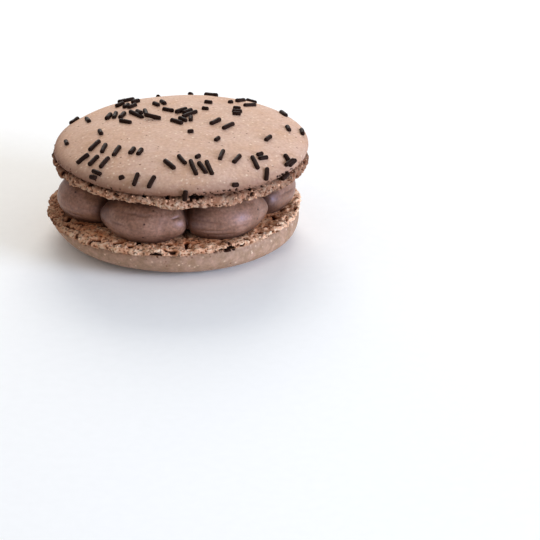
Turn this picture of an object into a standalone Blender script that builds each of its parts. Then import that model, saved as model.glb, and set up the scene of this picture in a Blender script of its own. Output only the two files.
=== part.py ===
"""A chocolate macaron: two baked almond shells round a ring of piped filling, the lid set with sprinkles.

Metres, +Z up. The origin is on the flat spot that the macaron rests on, under the lower shell's axis.
The front faces -Y. Azimuths are degrees from the front, growing to the right.
"""

import math
import random
from collections import namedtuple

import bmesh
import bpy
from mathutils import Matrix, Vector, geometry, noise
from mathutils.bvhtree import BVHTree

MM = 0.001
GAP = 0.3 * MM  # clearance between the filling and a shell
SCREW_STEPS = 112
WELD = 0.01 * MM

# The lid: a low dome on a ragged foot, set a little to the right of the lower shell
LID_RADIUS = 36.0 * MM
LID_UNDERSIDE = 22.0 * MM
LID_FOOT = 4.0 * MM
LID_DOME = 6.9 * MM
LID_POWER = 0.788  # below 1 the dome is fuller than an ellipse
LID_SHIFT = Vector((2.4 * MM, 0.26 * MM, 0.0))
LID_BORDER = LID_UNDERSIDE + LID_FOOT
LID_RINGS = 8
SHOULDER_PUSH = 1.3 * MM  # the dome is fuller at the back right
SHOULDER_AT = 125.0
SHOULDER_WIDTH = 80.0
SLOPE_DRAW = 0.9 * MM  # and falls more gently at the left
SLOPE_AT = -112.0
SLOPE_WIDTH = 70.0
EDGE_RISE = 0.8 * MM  # the foot's lower edge is higher at the front left
EDGE_RISE_FROM = -78.0
EDGE_RISE_TO = -9.0
EDGE_RISE_FADE = 30.0
EDGE_RISE_STEP = 5.0

# The lower shell, which lies on its dome
BASE_SHIFT = Vector((0.4 * MM, 0.0, 0.0))
BASE_RADIUS = 35.85 * MM
BASE_TOP = 10.0 * MM
BASE_BORDER = 7.9 * MM
BASE_DOME_RADIUS = 35.16 * MM
BASE_POWER = 0.25  # a steep side that turns in late
BASE_LEAN = 2.2 * MM  # how far the underside is pushed to the right
BASE_ROLL = 0.7 * MM  # the rim is this much higher at the right than at the middle
BASE_BACK_RISE = 0.6 * MM
FLAT_SPOT = 16.0 * MM
BASE_SWELL_FROM = 2.0 * MM

# The ragged foot that both shells have where they rose in the oven
LIP = 0.75 * MM  # depth of the crevice under the dome's lip
FOOT_BULGE = 0.15 * MM
CRAG = 0.55 * MM
CRAG_MOST = 0.8  # crumbs past this share of a crag have broken off
CRAG_SIZE = 3.4 * MM
CRUMB_SIZE = 1.7 * MM
CRAG_LIFT = 0.25 * MM
ROUGH_BY = 0.5 * MM  # the foot is at its roughest from this far under the lip
SIDE_FROM = 34.0 * MM  # radii where the foot's side starts
SIDE_ALL = 35.0 * MM
RIM_FROM = 31.0 * MM  # radii where the rim parts from the flat face
RIM_ALL = 34.5 * MM
POCKET_FULL = 0.4 * MM  # how far from the lip a slot is open
POCKET_FADE = 0.9 * MM
POCKET_END = 1.9 * MM
SWELL = 0.22 * MM
SWELL_SIZE = 15.0 * MM
CRUMBLY_FROM = 27.5 * MM  # the flat faces are crumbly from this radius out
CRUMBLY_ALL = 32.5 * MM
PIT = 0.7 * MM
FACE_SKIN = 0.5 * MM

# The filling: a ring of dollops, the first four of them at the front and the right
DOLLOP_RING = 22.3 * MM
DOLLOP_SHIFT = 0.6 * MM
DOLLOP_HEIGHT = 14.9 * MM
DOLLOP_HALF_HEIGHT = 7.44 * MM
DOLLOP_AZIMUTHS = (-72.9, -19.3, 33.0, 83.7, 134.5, 185.3, 236.1)
DOLLOP_RADII = (11.7 * MM, 12.1 * MM, 12.35 * MM, 12.0 * MM, 12.1 * MM, 11.8 * MM, 12.2 * MM)
DOLLOP_SEGMENTS = 24
DOLLOP_RINGS = 12
CORE_RADIUS = 18.0 * MM
CORE_INSET = 0.6 * MM  # how far the core's faces stand in from the shells
CORE_SEGMENTS = 32

# Chocolate sprinkles
ROD_THICK = 1.35 * MM
ROD_SIDES = 6
ROD_SINK = 0.34 * MM
ROD_SHORTEST = 1.6 * MM
ROD_JITTER = 0.35 * MM
ROD_FAN = 8.0
ROD_SPREAD = 0.16  # share of the length
ROD_TRIES = 24
ROD_OUTERMOST = 35.2 * MM
SEED = 11

Slot = namedtuple("Slot", "azimuth width depth")
LID_SLOTS = (Slot(6.0, 5.0, 1.6 * MM), Slot(-44.0, 3.5, 1.6 * MM))
BASE_SLOTS = (Slot(-9.0, 3.0, 1.2 * MM), Slot(24.0, 6.0, 1.8 * MM), Slot(30.0, 2.5, 1.4 * MM))

# A drift is a few sprinkles side by side: its centre on the lid and its pitch in mm, its heading in
# degrees from +X, how many lie in it, and their length in mm
Drift = namedtuple("Drift", "x y heading pitch count length")
DRIFTS = (
    Drift(-14.6, 25.0, 40, 3.6, 3, 2.9),
    Drift(-15.2, 18.2, 52, 2.4, 3, 3.9),
    Drift(-18.4, 9.6, 86, 2.1, 3, 4.0),
    Drift(-11.8, 9.2, 104, 1.7, 3, 5.2),
    Drift(-15.2, 3.4, 143, 0.0, 1, 4.3),
    Drift(-8.5, 5.5, 161, 0.0, 1, 5.7),
    Drift(-30.1, 16.0, 51, 0.0, 1, 4.0),
    Drift(-25.7, 8.9, 102, 0.0, 1, 4.2),
    Drift(-5.6, 17.3, 118, 2.4, 2, 3.2),
    Drift(-3.6, 11.3, 151, 0.0, 1, 2.8),
    Drift(1.6, 9.3, 48, 1.9, 3, 4.6),
    Drift(0.2, 2.4, 132, 3.2, 2, 3.6),
    Drift(2.6, 4.8, 97, 0.0, 1, 3.2),
    Drift(7.4, 15.8, 166, 6.4, 2, 2.1),
    Drift(11.4, 0.4, 58, 3.9, 2, 4.8),
    Drift(3.3, -6.8, 22, 0.0, 1, 2.4),
    Drift(9.8, -10.7, 76, 0.0, 1, 2.5),
    Drift(9.4, 31.6, 138, 0.0, 1, 4.2),
    Drift(16.6, 24.7, 62, 0.0, 1, 6.0),
    Drift(14.4, 20.5, 37, 0.0, 1, 1.8),
    Drift(15.8, 11.4, 176, 2.9, 3, 2.6),
    Drift(20.7, 18.1, 42, 0.0, 1, 3.2),
    Drift(29.2, 15.0, 94, 0.0, 1, 3.8),
    Drift(32.0, 2.0, 106, 3.8, 2, 3.6),
    Drift(23.8, -6.7, 56, 0.0, 1, 4.7),
    Drift(-26.9, -3.5, 90, 9.4, 2, 3.0),
    Drift(-20.9, -14.1, 50, 4.3, 3, 5.0),
    Drift(-23.8, -19.3, 54, 3.6, 3, 4.5),
    Drift(-12.6, -18.1, 70, 2.7, 2, 2.8),
    Drift(-24.2, -26.0, 138, 2.2, 2, 3.0),
    Drift(-16.0, -28.2, 27, 0.0, 1, 1.6),
    Drift(-10.3, -31.6, 68, 3.9, 2, 3.8),
    Drift(-1.8, -24.5, 121, 3.3, 2, 4.8),
    Drift(4.4, -22.0, 58, 0.0, 1, 2.6),
    Drift(5.4, -27.6, 100, 2.3, 3, 6.0),
    Drift(13.1, -21.2, 70, 4.7, 2, 5.0),
    Drift(20.0, -23.0, 114, 0.0, 1, 5.7),
    Drift(22.2, -19.3, 30, 1.9, 2, 3.2),
    Drift(28.5, -17.0, 120, 0.0, 1, 5.5),
    Drift(30.4, -18.8, 60, 3.0, 2, 3.0),
    Drift(23.3, -25.7, 99, 0.0, 1, 3.6),
    Drift(15.0, -31.7, 13, 0.0, 1, 2.0),
    Drift(-1.0, 34.4, 84, 9.0, 2, 3.4),
    Drift(20.5, 28.4, 150, 0.0, 1, 3.6),
)

# Sprinkles caught on the foot: azimuth, height over the underside, lean from upright, length in mm
Stray = namedtuple("Stray", "azimuth height lean length")
STRAYS = (Stray(1.6, 4.4, 6.0, 3.2), Stray(52.5, 3.9, 74.0, 3.2))

COLLECTION = "chocolate_macaron"


def clear_scene():
    for obj in list(bpy.data.objects):
        bpy.data.objects.remove(obj, do_unlink=True)


def new_collection(name):
    made = bpy.data.collections.new(name)
    bpy.context.scene.collection.children.link(made)
    return made


def food_material(name, colour, roughness):
    """colour is linear RGB."""
    material = bpy.data.materials.new(name)
    material.use_nodes = True
    shader = material.node_tree.nodes["Principled BSDF"]
    shader.inputs["Base Color"].default_value = (*colour, 1.0)
    shader.inputs["Roughness"].default_value = roughness
    shader.inputs["Metallic"].default_value = 0.0
    return material


def smooth(value, low, high):
    """0 below low, 1 above high, with soft ends."""
    t = min(1.0, max(0.0, (value - low) / (high - low)))
    return t * t * (3.0 - 2.0 * t)


def lobe(azimuth, middle, half_width):
    """1 at the middle azimuth, fading to 0 half_width to either side of it."""
    away = abs((azimuth - middle + 180.0) % 360.0 - 180.0)
    return 1.0 - smooth(away, 0.0, half_width)


def bumps(point, size, layer=0.0):
    """Soft noise of about -1 to 1, whose bumps are size across."""
    return 1.5 * noise.noise(point / size + Vector((layer, 7.3 * layer, 3.1 * layer)))


def azimuth_of(point):
    return math.degrees(math.atan2(point.x, -point.y))


def crag(point):
    """How far the ragged foot stands out, and how far it is pushed up, before it is scaled."""
    out = bumps(point, CRAG_SIZE) + 0.6 * bumps(point, CRUMB_SIZE, 1.0)
    up = bumps(point, CRAG_SIZE, 2.0)
    return min(CRAG_MOST, out), up


def foot_relief(point, below_lip, from_face, slots):
    """How far a point of the foot is moved outwards, up, and in from the shell's flat face."""
    radius = math.hypot(point.x, point.y)
    azimuth = azimuth_of(point)
    out, up = crag(point)
    rough = smooth(below_lip, 0.0, ROUGH_BY)
    pocket = smooth(below_lip, 0.0, POCKET_FULL) * (1.0 - smooth(below_lip, POCKET_FADE, POCKET_END))
    slot = max(slot.depth * lobe(azimuth, slot.azimuth, slot.width) for slot in slots)
    outwards = CRAG * out * rough * smooth(radius, SIDE_FROM, SIDE_ALL) - slot * pocket
    upwards = CRAG_LIFT * up * rough * smooth(radius, RIM_FROM, RIM_ALL)
    pitted = smooth(radius, CRUMBLY_FROM, CRUMBLY_ALL) * (1.0 - smooth(from_face, 0.0, FACE_SKIN))
    return outwards, upwards, PIT * max(0.0, -out) * pitted


def bake_lid(point):
    """Moves a point of the turned lid to where the baked one has it."""
    moved = point.copy()
    azimuth = azimuth_of(point)
    outward = Vector((point.x, point.y, 0.0)).normalized()
    height = point.z - LID_UNDERSIDE
    moved.z += SWELL * bumps(point, SWELL_SIZE) * smooth(height, 0.0, LID_FOOT)
    if height > LID_FOOT:
        share = (height - LID_FOOT) / LID_DOME
        belly = 4.0 * share * (1.0 - share)
        push = SHOULDER_PUSH * lobe(azimuth, SHOULDER_AT, SHOULDER_WIDTH)
        draw = SLOPE_DRAW * lobe(azimuth, SLOPE_AT, SLOPE_WIDTH)
        return moved + outward * belly * (push - draw)
    outwards, upwards, inwards = foot_relief(point, LID_BORDER - point.z, height, LID_SLOTS)
    left = smooth(azimuth, EDGE_RISE_FROM, EDGE_RISE_FROM + EDGE_RISE_FADE)
    right = smooth(azimuth, EDGE_RISE_TO - EDGE_RISE_STEP, EDGE_RISE_TO)
    rim = smooth(math.hypot(point.x, point.y), RIM_FROM, RIM_ALL)
    moved.z += EDGE_RISE * left * (1.0 - right) * rim * (1.0 - height / LID_FOOT)
    moved.z += upwards + inwards
    return moved + outward * outwards


def bake_base(point):
    """Moves a point of the turned lower shell to where the baked one has it."""
    moved = point.copy()
    outward = Vector((point.x, point.y, 0.0)).normalized()
    side = min(1.0, point.z / BASE_BORDER)
    roll = BASE_ROLL * point.x / BASE_RADIUS
    moved.x += BASE_LEAN * (1.0 - side)
    if point.z <= BASE_BORDER:
        moved.z += roll * side
        clear_of_table = smooth(point.z, 0.0, BASE_SWELL_FROM)
        return moved + outward * SWELL * bumps(point, SWELL_SIZE, 4.0) * clear_of_table
    above_lip = point.z - BASE_BORDER
    outwards, upwards, inwards = foot_relief(point, above_lip, BASE_TOP - point.z, BASE_SLOTS)
    rise = BASE_BACK_RISE * smooth(point.y, 0.0, BASE_RADIUS)
    moved.z += (roll + rise) * smooth(math.hypot(point.x, point.y), RIM_FROM, RIM_ALL)
    moved.z += upwards - inwards
    return moved + outward * outwards


def lid_profile():
    """From the crown down the dome and the foot to the middle of the flat face."""
    dome = []
    for step in range(LID_RINGS + 1):
        t = 0.5 * math.pi * (1.0 - step / LID_RINGS)
        radius = LID_RADIUS * math.cos(t) ** LID_POWER if step else 0.0
        dome.append((radius, LID_BORDER + LID_DOME * math.sin(t)))
    foot = [
        (LID_RADIUS - LIP, LID_BORDER - 0.45 * MM),
        (LID_RADIUS + 0.6 * FOOT_BULGE, LID_BORDER - 1.1 * MM),
        (LID_RADIUS + FOOT_BULGE, LID_BORDER - 2.3 * MM),
        (LID_RADIUS, LID_BORDER - 3.3 * MM),
        (LID_RADIUS - 0.6 * MM, LID_UNDERSIDE),
    ]
    flat = [(33.2 * MM, LID_UNDERSIDE), (30.0 * MM, LID_UNDERSIDE), (0.0, LID_UNDERSIDE)]
    return dome + foot + flat


def base_profile():
    """From the middle of the flat face out to the foot, and down the dome to the flat spot."""
    flat = [(0.0, BASE_TOP)] + [(radius * MM, BASE_TOP) for radius in (27.5, 30.0, 32.2, 34.0)]
    foot = [
        (BASE_RADIUS - 0.5 * MM, BASE_TOP - 0.1 * MM),
        (BASE_RADIUS + FOOT_BULGE, BASE_TOP - 0.8 * MM),
        (BASE_RADIUS, BASE_BORDER + 0.6 * MM),
        (BASE_DOME_RADIUS - 0.5 * LIP, BASE_BORDER + 0.2 * MM),
    ]
    dome = []
    for angle in (3.0, 17.0, 33.0, 51.0, 70.0):
        t = math.radians(angle)
        dome.append((BASE_DOME_RADIUS * math.cos(t) ** BASE_POWER, BASE_BORDER * (1.0 - math.sin(t))))
    return flat + foot + dome + [(FLAT_SPOT, 0.0), (0.0, 0.0)]


def turned(name, profile, collection):
    """A closed solid turned from a profile of (radius, height) points."""
    mesh = bpy.data.meshes.new(name)
    points = [(radius, 0.0, height) for radius, height in profile]
    edges = [(i, i + 1) for i in range(len(points) - 1)]
    mesh.from_pydata(points, edges, [])
    obj = bpy.data.objects.new(name, mesh)
    collection.objects.link(obj)
    screw = obj.modifiers.new("turn", "SCREW")
    screw.axis = "Z"
    screw.steps = SCREW_STEPS
    screw.render_steps = SCREW_STEPS
    screw.use_merge_vertices = True
    screw.merge_threshold = WELD
    return obj


def apply_modifiers(obj):
    bpy.context.view_layer.update()
    graph = bpy.context.evaluated_depsgraph_get()
    mesh = bpy.data.meshes.new_from_object(obj.evaluated_get(graph))
    obj.modifiers.clear()
    obj.data = mesh


def unite(obj, pieces):
    """Joins a collection of pieces to the object, and removes them."""
    union = obj.modifiers.new("union", "BOOLEAN")
    union.operation = "UNION"
    union.operand_type = "COLLECTION"
    union.collection = pieces
    union.solver = "EXACT"
    apply_modifiers(obj)
    for piece in list(pieces.objects):
        bpy.data.objects.remove(piece, do_unlink=True)
    bpy.data.collections.remove(pieces)


def keep_largest(obj):
    """Drops any scrap that the union left loose."""
    bm = bmesh.new()
    bm.from_mesh(obj.data)
    bmesh.ops.remove_doubles(bm, verts=bm.verts, dist=0.002 * MM)
    bmesh.ops.dissolve_degenerate(bm, dist=0.002 * MM, edges=bm.edges)
    left = set(bm.verts)
    islands = []
    while left:
        island = set()
        front = [left.pop()]
        while front:
            vert = front.pop()
            island.add(vert)
            for edge in vert.link_edges:
                other = edge.other_vert(vert)
                if other in left:
                    left.remove(other)
                    front.append(other)
        islands.append(island)
    islands.sort(key=len)
    for scrap in islands[:-1]:
        bmesh.ops.delete(bm, geom=list(scrap), context="VERTS")
    bmesh.ops.triangulate(bm, faces=bm.faces)
    bm.to_mesh(obj.data)
    bm.free()


def finish(obj, material):
    obj.data.materials.clear()
    obj.data.materials.append(material)
    obj.data.shade_smooth()
    obj.data.set_sharp_from_angle(angle=math.radians(50.0))


def rod_gap(start, end, other):
    """The least distance between two sprinkles' axes, and where on the first one it is, -1 to 1."""
    closest = (math.inf, 0.0)
    for step in range(-4, 5):
        point = start.lerp(end, 0.5 + step / 8.0)
        foot, share = geometry.intersect_point_line(point, other[0], other[1])
        if share < 0.0:
            foot = other[0]
        if share > 1.0:
            foot = other[1]
        closest = min(closest, ((point - foot).length, step / 4.0))
    return closest


def lie(skin, spot, heading, length, placed):
    """Lays a sprinkle on the skin, or with one end up on the sprinkles already there."""
    place, normal, _, _ = skin.ray_cast(Vector((spot.x, spot.y, 1.0)), Vector((0.0, 0.0, -1.0)))
    along = Vector((math.cos(heading), math.sin(heading), 0.0))
    along = (along - normal * along.dot(normal)).normalized()
    centre = place + normal * (0.5 * ROD_THICK - ROD_SINK)
    half = along * 0.5 * length
    lift = 0.0
    at = 0.0
    for other in placed:
        gap, where = rod_gap(centre - half, centre + half, other)
        if ROD_THICK - gap > lift:
            lift = ROD_THICK - gap
            at = where
    if lift > 0.15 * ROD_THICK:
        lift = min(lift, 0.8 * ROD_THICK)
        slope = lift / (0.5 * length * (abs(at) + 1.0))
        centre = centre + normal * slope * 0.5 * length
        half = (along + normal * math.copysign(slope, at)).normalized() * 0.5 * length
    return (centre - half, centre + half), lift


def lay_sprinkles(skin):
    """The two ends of each sprinkle's axis, in the lid's own frame."""
    placed = []
    for number, drift in enumerate(DRIFTS):
        draws = random.Random(SEED * 1000 + number)
        across = Vector((math.sin(math.radians(drift.heading)), -math.cos(math.radians(drift.heading)), 0.0))
        for index in range(drift.count):
            middle = Vector((drift.x, drift.y, 0.0)) * MM
            middle += across * (index - 0.5 * (drift.count - 1)) * drift.pitch * MM
            best = None
            for _ in range(ROD_TRIES):
                spot = middle + Vector((draws.gauss(0.0, ROD_JITTER), draws.gauss(0.0, ROD_JITTER), 0.0))
                if spot.length > ROD_OUTERMOST:
                    spot *= ROD_OUTERMOST / spot.length
                heading = math.radians(drift.heading + draws.gauss(0.0, ROD_FAN))
                length = max(ROD_SHORTEST, drift.length * MM * (1.0 + draws.gauss(0.0, ROD_SPREAD)))
                ends, lift = lie(skin, spot, heading, length, placed)
                if best is None or lift < best[1]:
                    best = (ends, lift)
                if lift == 0.0:
                    break
            placed.append(best[0])
    for stray in STRAYS:
        turn = math.radians(stray.azimuth)
        outward = Vector((math.sin(turn), -math.cos(turn), 0.0))
        sideways = Vector((math.cos(turn), math.sin(turn), 0.0))
        level = Vector((0.0, 0.0, LID_UNDERSIDE + stray.height * MM))
        place = skin.ray_cast(outward * 1.0 + level, -outward)[0]
        lean = math.radians(stray.lean)
        half = (Vector((0.0, 0.0, math.cos(lean))) + sideways * math.sin(lean)) * 0.5 * stray.length * MM
        centre = place + outward * (0.5 * ROD_THICK - ROD_SINK)
        placed.append((centre - half, centre + half))
    return placed


def sprinkle(number, ends, collection):
    """A six-sided rod with blunt ends, about a given axis."""
    start, end = ends
    bm = bmesh.new()
    bmesh.ops.create_cone(
        bm,
        cap_ends=True,
        segments=ROD_SIDES,
        radius1=0.5 * ROD_THICK,
        radius2=0.5 * ROD_THICK,
        depth=(end - start).length,
    )
    mesh = bpy.data.meshes.new(f"sprinkle_{number:03d}")
    bm.to_mesh(mesh)
    bm.free()
    obj = bpy.data.objects.new(mesh.name, mesh)
    turn = (end - start).to_track_quat("Z", "Y").to_matrix().to_4x4()
    obj.matrix_world = Matrix.Translation(0.5 * (start + end)) @ turn
    collection.objects.link(obj)


def bake(obj, move):
    """Moves each point of a turned solid by its own rule for the baked shape."""
    for vert in obj.data.vertices:
        vert.co = move(vert.co.copy())


def make_lid(collection, material):
    lid = turned("top_shell", lid_profile(), collection)
    apply_modifiers(lid)
    bake(lid, bake_lid)
    bm = bmesh.new()
    bm.from_mesh(lid.data)
    skin = BVHTree.FromBMesh(bm)
    bm.free()
    sprinkles = new_collection("sprinkles")
    for number, ends in enumerate(lay_sprinkles(skin)):
        sprinkle(number, ends, sprinkles)
    unite(lid, sprinkles)
    keep_largest(lid)
    lid.location = LID_SHIFT
    finish(lid, material)
    return lid


def make_base(collection, material):
    base = turned("bottom_shell", base_profile(), collection)
    apply_modifiers(base)
    bake(base, bake_base)
    base.location = BASE_SHIFT
    finish(base, material)
    return base


def make_filling(collection, material):
    """Dollops squashed between the shells, joined over a plain core."""
    low = BASE_TOP + GAP
    high = LID_UNDERSIDE - GAP
    bpy.ops.mesh.primitive_cylinder_add(
        vertices=CORE_SEGMENTS,
        radius=CORE_RADIUS,
        depth=high - low - 2.0 * (CORE_INSET - GAP),
        location=(DOLLOP_SHIFT, 0.0, 0.5 * (low + high)),
    )
    core = bpy.context.object
    core.name = "filling"
    for holder in list(core.users_collection):
        holder.objects.unlink(core)
    collection.objects.link(core)
    dollops = new_collection("dollops")
    for number, (azimuth, radius) in enumerate(zip(DOLLOP_AZIMUTHS, DOLLOP_RADII)):
        turn = math.radians(azimuth)
        bm = bmesh.new()
        bmesh.ops.create_uvsphere(bm, u_segments=DOLLOP_SEGMENTS, v_segments=DOLLOP_RINGS, radius=radius)
        bmesh.ops.scale(bm, vec=(1.0, 1.0, DOLLOP_HALF_HEIGHT / radius), verts=bm.verts)
        mesh = bpy.data.meshes.new(f"dollop_{number}")
        bm.to_mesh(mesh)
        bm.free()
        dollop = bpy.data.objects.new(mesh.name, mesh)
        dollop.location = (
            DOLLOP_SHIFT + DOLLOP_RING * math.sin(turn),
            -DOLLOP_RING * math.cos(turn),
            DOLLOP_HEIGHT,
        )
        dollop.rotation_euler.z = turn
        dollops.objects.link(dollop)
    unite(core, dollops)
    keep_largest(core)
    centre = core.location.z
    for vert in core.data.vertices:
        vert.co.z = min(high, max(low, vert.co.z + centre)) - centre
    finish(core, material)
    return core


def main():
    clear_scene()
    collection = new_collection(COLLECTION)
    shell = food_material("baked cocoa almond shell", (0.60, 0.38, 0.27), 0.78)
    ganache = food_material("piped chocolate filling", (0.17, 0.09, 0.06), 0.42)
    stand = bpy.data.objects.new("macaron", None)
    collection.objects.link(stand)
    for piece in (
        make_base(collection, shell),
        make_filling(collection, ganache),
        make_lid(collection, shell),
    ):
        piece.parent = stand


main()
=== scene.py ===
"""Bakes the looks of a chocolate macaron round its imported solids.

The file is laid out as an add-on and is run as a script. Metres, +Z up, the front faces -Y, and an
azimuth is in degrees from the front, growing to the right, as in the macaron's own source.
"""

import math
import random
from collections import namedtuple

import bmesh
import bpy
from bpy.props import FloatProperty, FloatVectorProperty, IntProperty, PointerProperty
from mathutils import Matrix, Vector, geometry, noise
from mathutils.bvhtree import BVHTree


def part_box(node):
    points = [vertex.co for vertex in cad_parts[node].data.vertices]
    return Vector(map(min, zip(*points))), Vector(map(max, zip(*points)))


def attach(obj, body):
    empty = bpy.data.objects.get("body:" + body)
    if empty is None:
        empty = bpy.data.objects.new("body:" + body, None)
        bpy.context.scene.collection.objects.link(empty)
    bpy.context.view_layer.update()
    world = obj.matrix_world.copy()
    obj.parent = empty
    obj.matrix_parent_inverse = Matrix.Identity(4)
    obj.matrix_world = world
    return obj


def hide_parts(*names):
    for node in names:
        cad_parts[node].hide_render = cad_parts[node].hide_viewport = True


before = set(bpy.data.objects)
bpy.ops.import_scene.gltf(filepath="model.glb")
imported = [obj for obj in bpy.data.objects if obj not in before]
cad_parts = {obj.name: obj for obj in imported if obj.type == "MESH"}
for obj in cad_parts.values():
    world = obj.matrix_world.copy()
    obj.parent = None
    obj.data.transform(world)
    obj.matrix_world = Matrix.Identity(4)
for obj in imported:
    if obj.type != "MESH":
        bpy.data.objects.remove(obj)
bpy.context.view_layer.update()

bl_info = {
    "name": "Chocolate Macaron",
    "version": (1, 0, 0),
    "blender": (4, 5, 0),
    "location": "3D Viewport > Sidebar > Macaron",
    "description": "Builds the shells, filling, crumbs and sprinkles of a chocolate macaron",
    "category": "Add Mesh",
}

MM = 0.001
GAP = 0.3 * MM  # clearance of the solids, which the finished filling closes
COARSE_STEPS = 112  # columns of the solids
WELD = 0.01 * MM

# The lid, in its own frame: a low dome on a ragged foot, set a little to the right of the lower shell
LID_RADIUS = 36.0 * MM
LID_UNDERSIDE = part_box("filling")[1].z + GAP
LID_FOOT = 4.0 * MM
LID_DOME = 6.9 * MM
LID_POWER = 0.788  # below 1 the dome is fuller than an ellipse
LID_SHIFT = Vector((2.4 * MM, 0.26 * MM, 0.0))
LID_BORDER = LID_UNDERSIDE + LID_FOOT
LID_RINGS = 8
SHOULDER_PUSH = 1.3 * MM  # the dome is fuller at the back right
SHOULDER_AT = 125.0
SHOULDER_WIDTH = 80.0
SLOPE_DRAW = 0.9 * MM  # and falls more gently at the left
SLOPE_AT = -112.0
SLOPE_WIDTH = 70.0
EDGE_RISE = 0.8 * MM  # the foot's lower edge is higher at the front left
EDGE_RISE_FROM = -78.0
EDGE_RISE_TO = -9.0
EDGE_RISE_FADE = 30.0
EDGE_RISE_STEP = 5.0

# The lower shell, in its own frame, which lies on its dome
BASE_SHIFT = Vector((0.4 * MM, 0.0, 0.0))
BASE_RADIUS = 35.85 * MM
BASE_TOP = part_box("filling")[0].z - GAP
BASE_BORDER = 7.9 * MM
BASE_DOME_RADIUS = 35.16 * MM
BASE_POWER = 0.25  # a steep side that turns in late
BASE_TURN_IN = (3.0, 72.0)  # degrees of the curve that its side takes
BASE_LEAN = 2.2 * MM  # how far the underside is pushed to the right
BASE_ROLL = 0.7 * MM  # the rim is this much higher at the right than at the middle
BASE_BACK_RISE = 0.6 * MM
FLAT_SPOT = 16.0 * MM  # radius of the underside's flat spot
BASE_SWELL_FROM = 2.0 * MM

# The ragged foot of both shells
LIP = 0.75 * MM  # depth of the crevice under the dome's lip
FOOT_BULGE = 0.15 * MM
CRAG = 0.55 * MM
CRAG_MOST = 0.8  # crumbs past this share of a crag have broken off
CRAG_SIZE = 3.4 * MM
CRUMB_SIZE = 1.7 * MM
CRUMB_SHARE = 0.6  # how far crumbs stand out, as a share of the crags
CRAG_LIFT = 0.25 * MM
ROUGH_BY = 0.5 * MM  # the foot is at its roughest from this far under the lip
SIDE_FROM = 34.0 * MM  # radii where the foot's side starts
SIDE_ALL = 35.0 * MM
RIM_FROM = 31.0 * MM  # radii where the rim parts from the flat face
RIM_ALL = 34.5 * MM
POCKET_FULL = 0.4 * MM  # how far from the lip a slot is open
POCKET_FADE = 0.9 * MM
POCKET_END = 1.9 * MM
SWELL = 0.22 * MM  # height of the soft swells of both domes
SWELL_SIZE = 15.0 * MM
CRUMBLY_FROM = 27.5 * MM  # the flat faces are crumbly from this radius out
CRUMBLY_ALL = 32.5 * MM
PIT = 0.7 * MM  # depth of the pits in the flat faces, and how far behind the face they fade out
FACE_SKIN = 0.5 * MM

# The torn sponge of the feet
LUMP_BENT = 0.25  # how far the lumps' pattern is bent, as a share of their spacing
LUMP_TOP = 0.35  # how high a lump stands, falls off and is grainy, as shares of the lump height
LUMP_FALL = 0.9
LUMP_GRAIN = 0.25
HOLE_FROM = 0.4  # the noise at which a hole starts, and at which it is at its deepest
HOLE_ALL = 0.75
PORE_DRAW = Vector((37.1, 57.3, 91.7))  # turns a pore's place into its random width
PORE_NARROWEST = 0.08  # pore radii, as shares of their spacing
PORE_WIDEST = 0.5
RIM_PORE_RADIUS = 0.5  # radius and fraying of the holes in the skin's edge, as shares of their spacing
RIM_PORE_FRAY = 0.5
RIM_PORE_FRAY_SIZE = 0.6 * MM
RIM_PORES_AT = 32.0  # where the skin's edge is most holed, and how far to either side
RIM_PORES_WIDTH = 78.0
RIM_PORES_FEW = 0.15  # share of holes that are open away from there, and how many more there
RIM_PORES_MORE = 0.65
RIM_PORES_FROM = 0.75  # how far into the edge band they start
RIM_PORES_ALL = 0.97
SKIN_RAG = 1.9 * MM  # width of the waves in the skin's edge
TORN_BY = 0.45 * MM  # the foot is torn from this far past the skin's edge
TORN_FROM = 21.5 * MM  # the flat faces are torn from this radius out
CURL = 1.5 * MM  # how far from the edge the skin curls in
RIP_ALONG = 2.2  # degrees that a slot's edge strays along the foot
RIP_DOWN = 0.35 * MM
RIP_SIZE = 1.3 * MM
RIP_FROM = 0.5 * MM  # how deep the solid has a slot where it starts to be torn open
RIP_ALL = 0.85 * MM
RIP_DEPTH = 2.0 * MM
EDGE_BAND = 3.6 * MM  # width of the band along the skin's edge that is darker, partly browned by the bake and partly painted shade
EDGE_LIT_SIDE = 0.55  # how much less dark that band is on the right side, as painted light where the window lamp falls
LIT_SIDE_AT = 80.0
LIT_SIDE_WIDTH = 62.0
INNER_FROM = 35.2 * MM  # radii between which the foot turns caramel towards the filling
INNER_ALL = 31.2 * MM

# The finished meshes: how far apart their rows and columns of points stand
COLUMNS = 900
DOME_ROWS = 44
FOOT_ROW = 0.22 * MM
FACE_ROW = 0.26 * MM
MIDDLE_ROW = 3.5 * MM

# The ring of dollops, the first four of them at the front and the right
DOLLOP_RING = 22.3 * MM
DOLLOP_SHIFT = 0.6 * MM
DOLLOP_HEIGHT = 14.9 * MM
DOLLOP_HALF_HEIGHT = 7.44 * MM
DOLLOP_AZIMUTHS = (-72.9, -19.3, 33.0, 83.7, 134.5, 185.3, 236.1)
DOLLOP_RADII = (11.7 * MM, 12.1 * MM, 12.35 * MM, 12.0 * MM, 12.1 * MM, 11.8 * MM, 12.2 * MM)
DOLLOP_SEGMENTS = 128
DOLLOP_RINGS = 64
CORE_RADIUS = 18.0 * MM
CORE_INSET = 0.6 * MM  # how far the core's faces stand in from the shells
CORE_SEGMENTS = 96
FILLING_VOXEL = 0.34 * MM
FILLING_REACH = 0.25 * MM  # how far the filling presses into each shell
FILLING_RELAX = 0.5  # how strongly and how often the joined skin is smoothed
FILLING_RELAXED = 3
DRAG_CLIMB = 0.06  # how steeply the drag lines climb round a dollop
DRAG_WAVER = 0.6 * MM
DRAG_WAVER_SIZE = 6.0 * MM
DRAG_LENGTH = 9.0  # how many times as long as wide a drag line is
DRAG_APART = 4.0  # keeps the lines of one dollop apart from the next one's in the noise
DRAG_FINER = 2.3  # a second set of lines is this much finer, and this deep beside the first
DRAG_FINER_SHARE = 0.5

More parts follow.
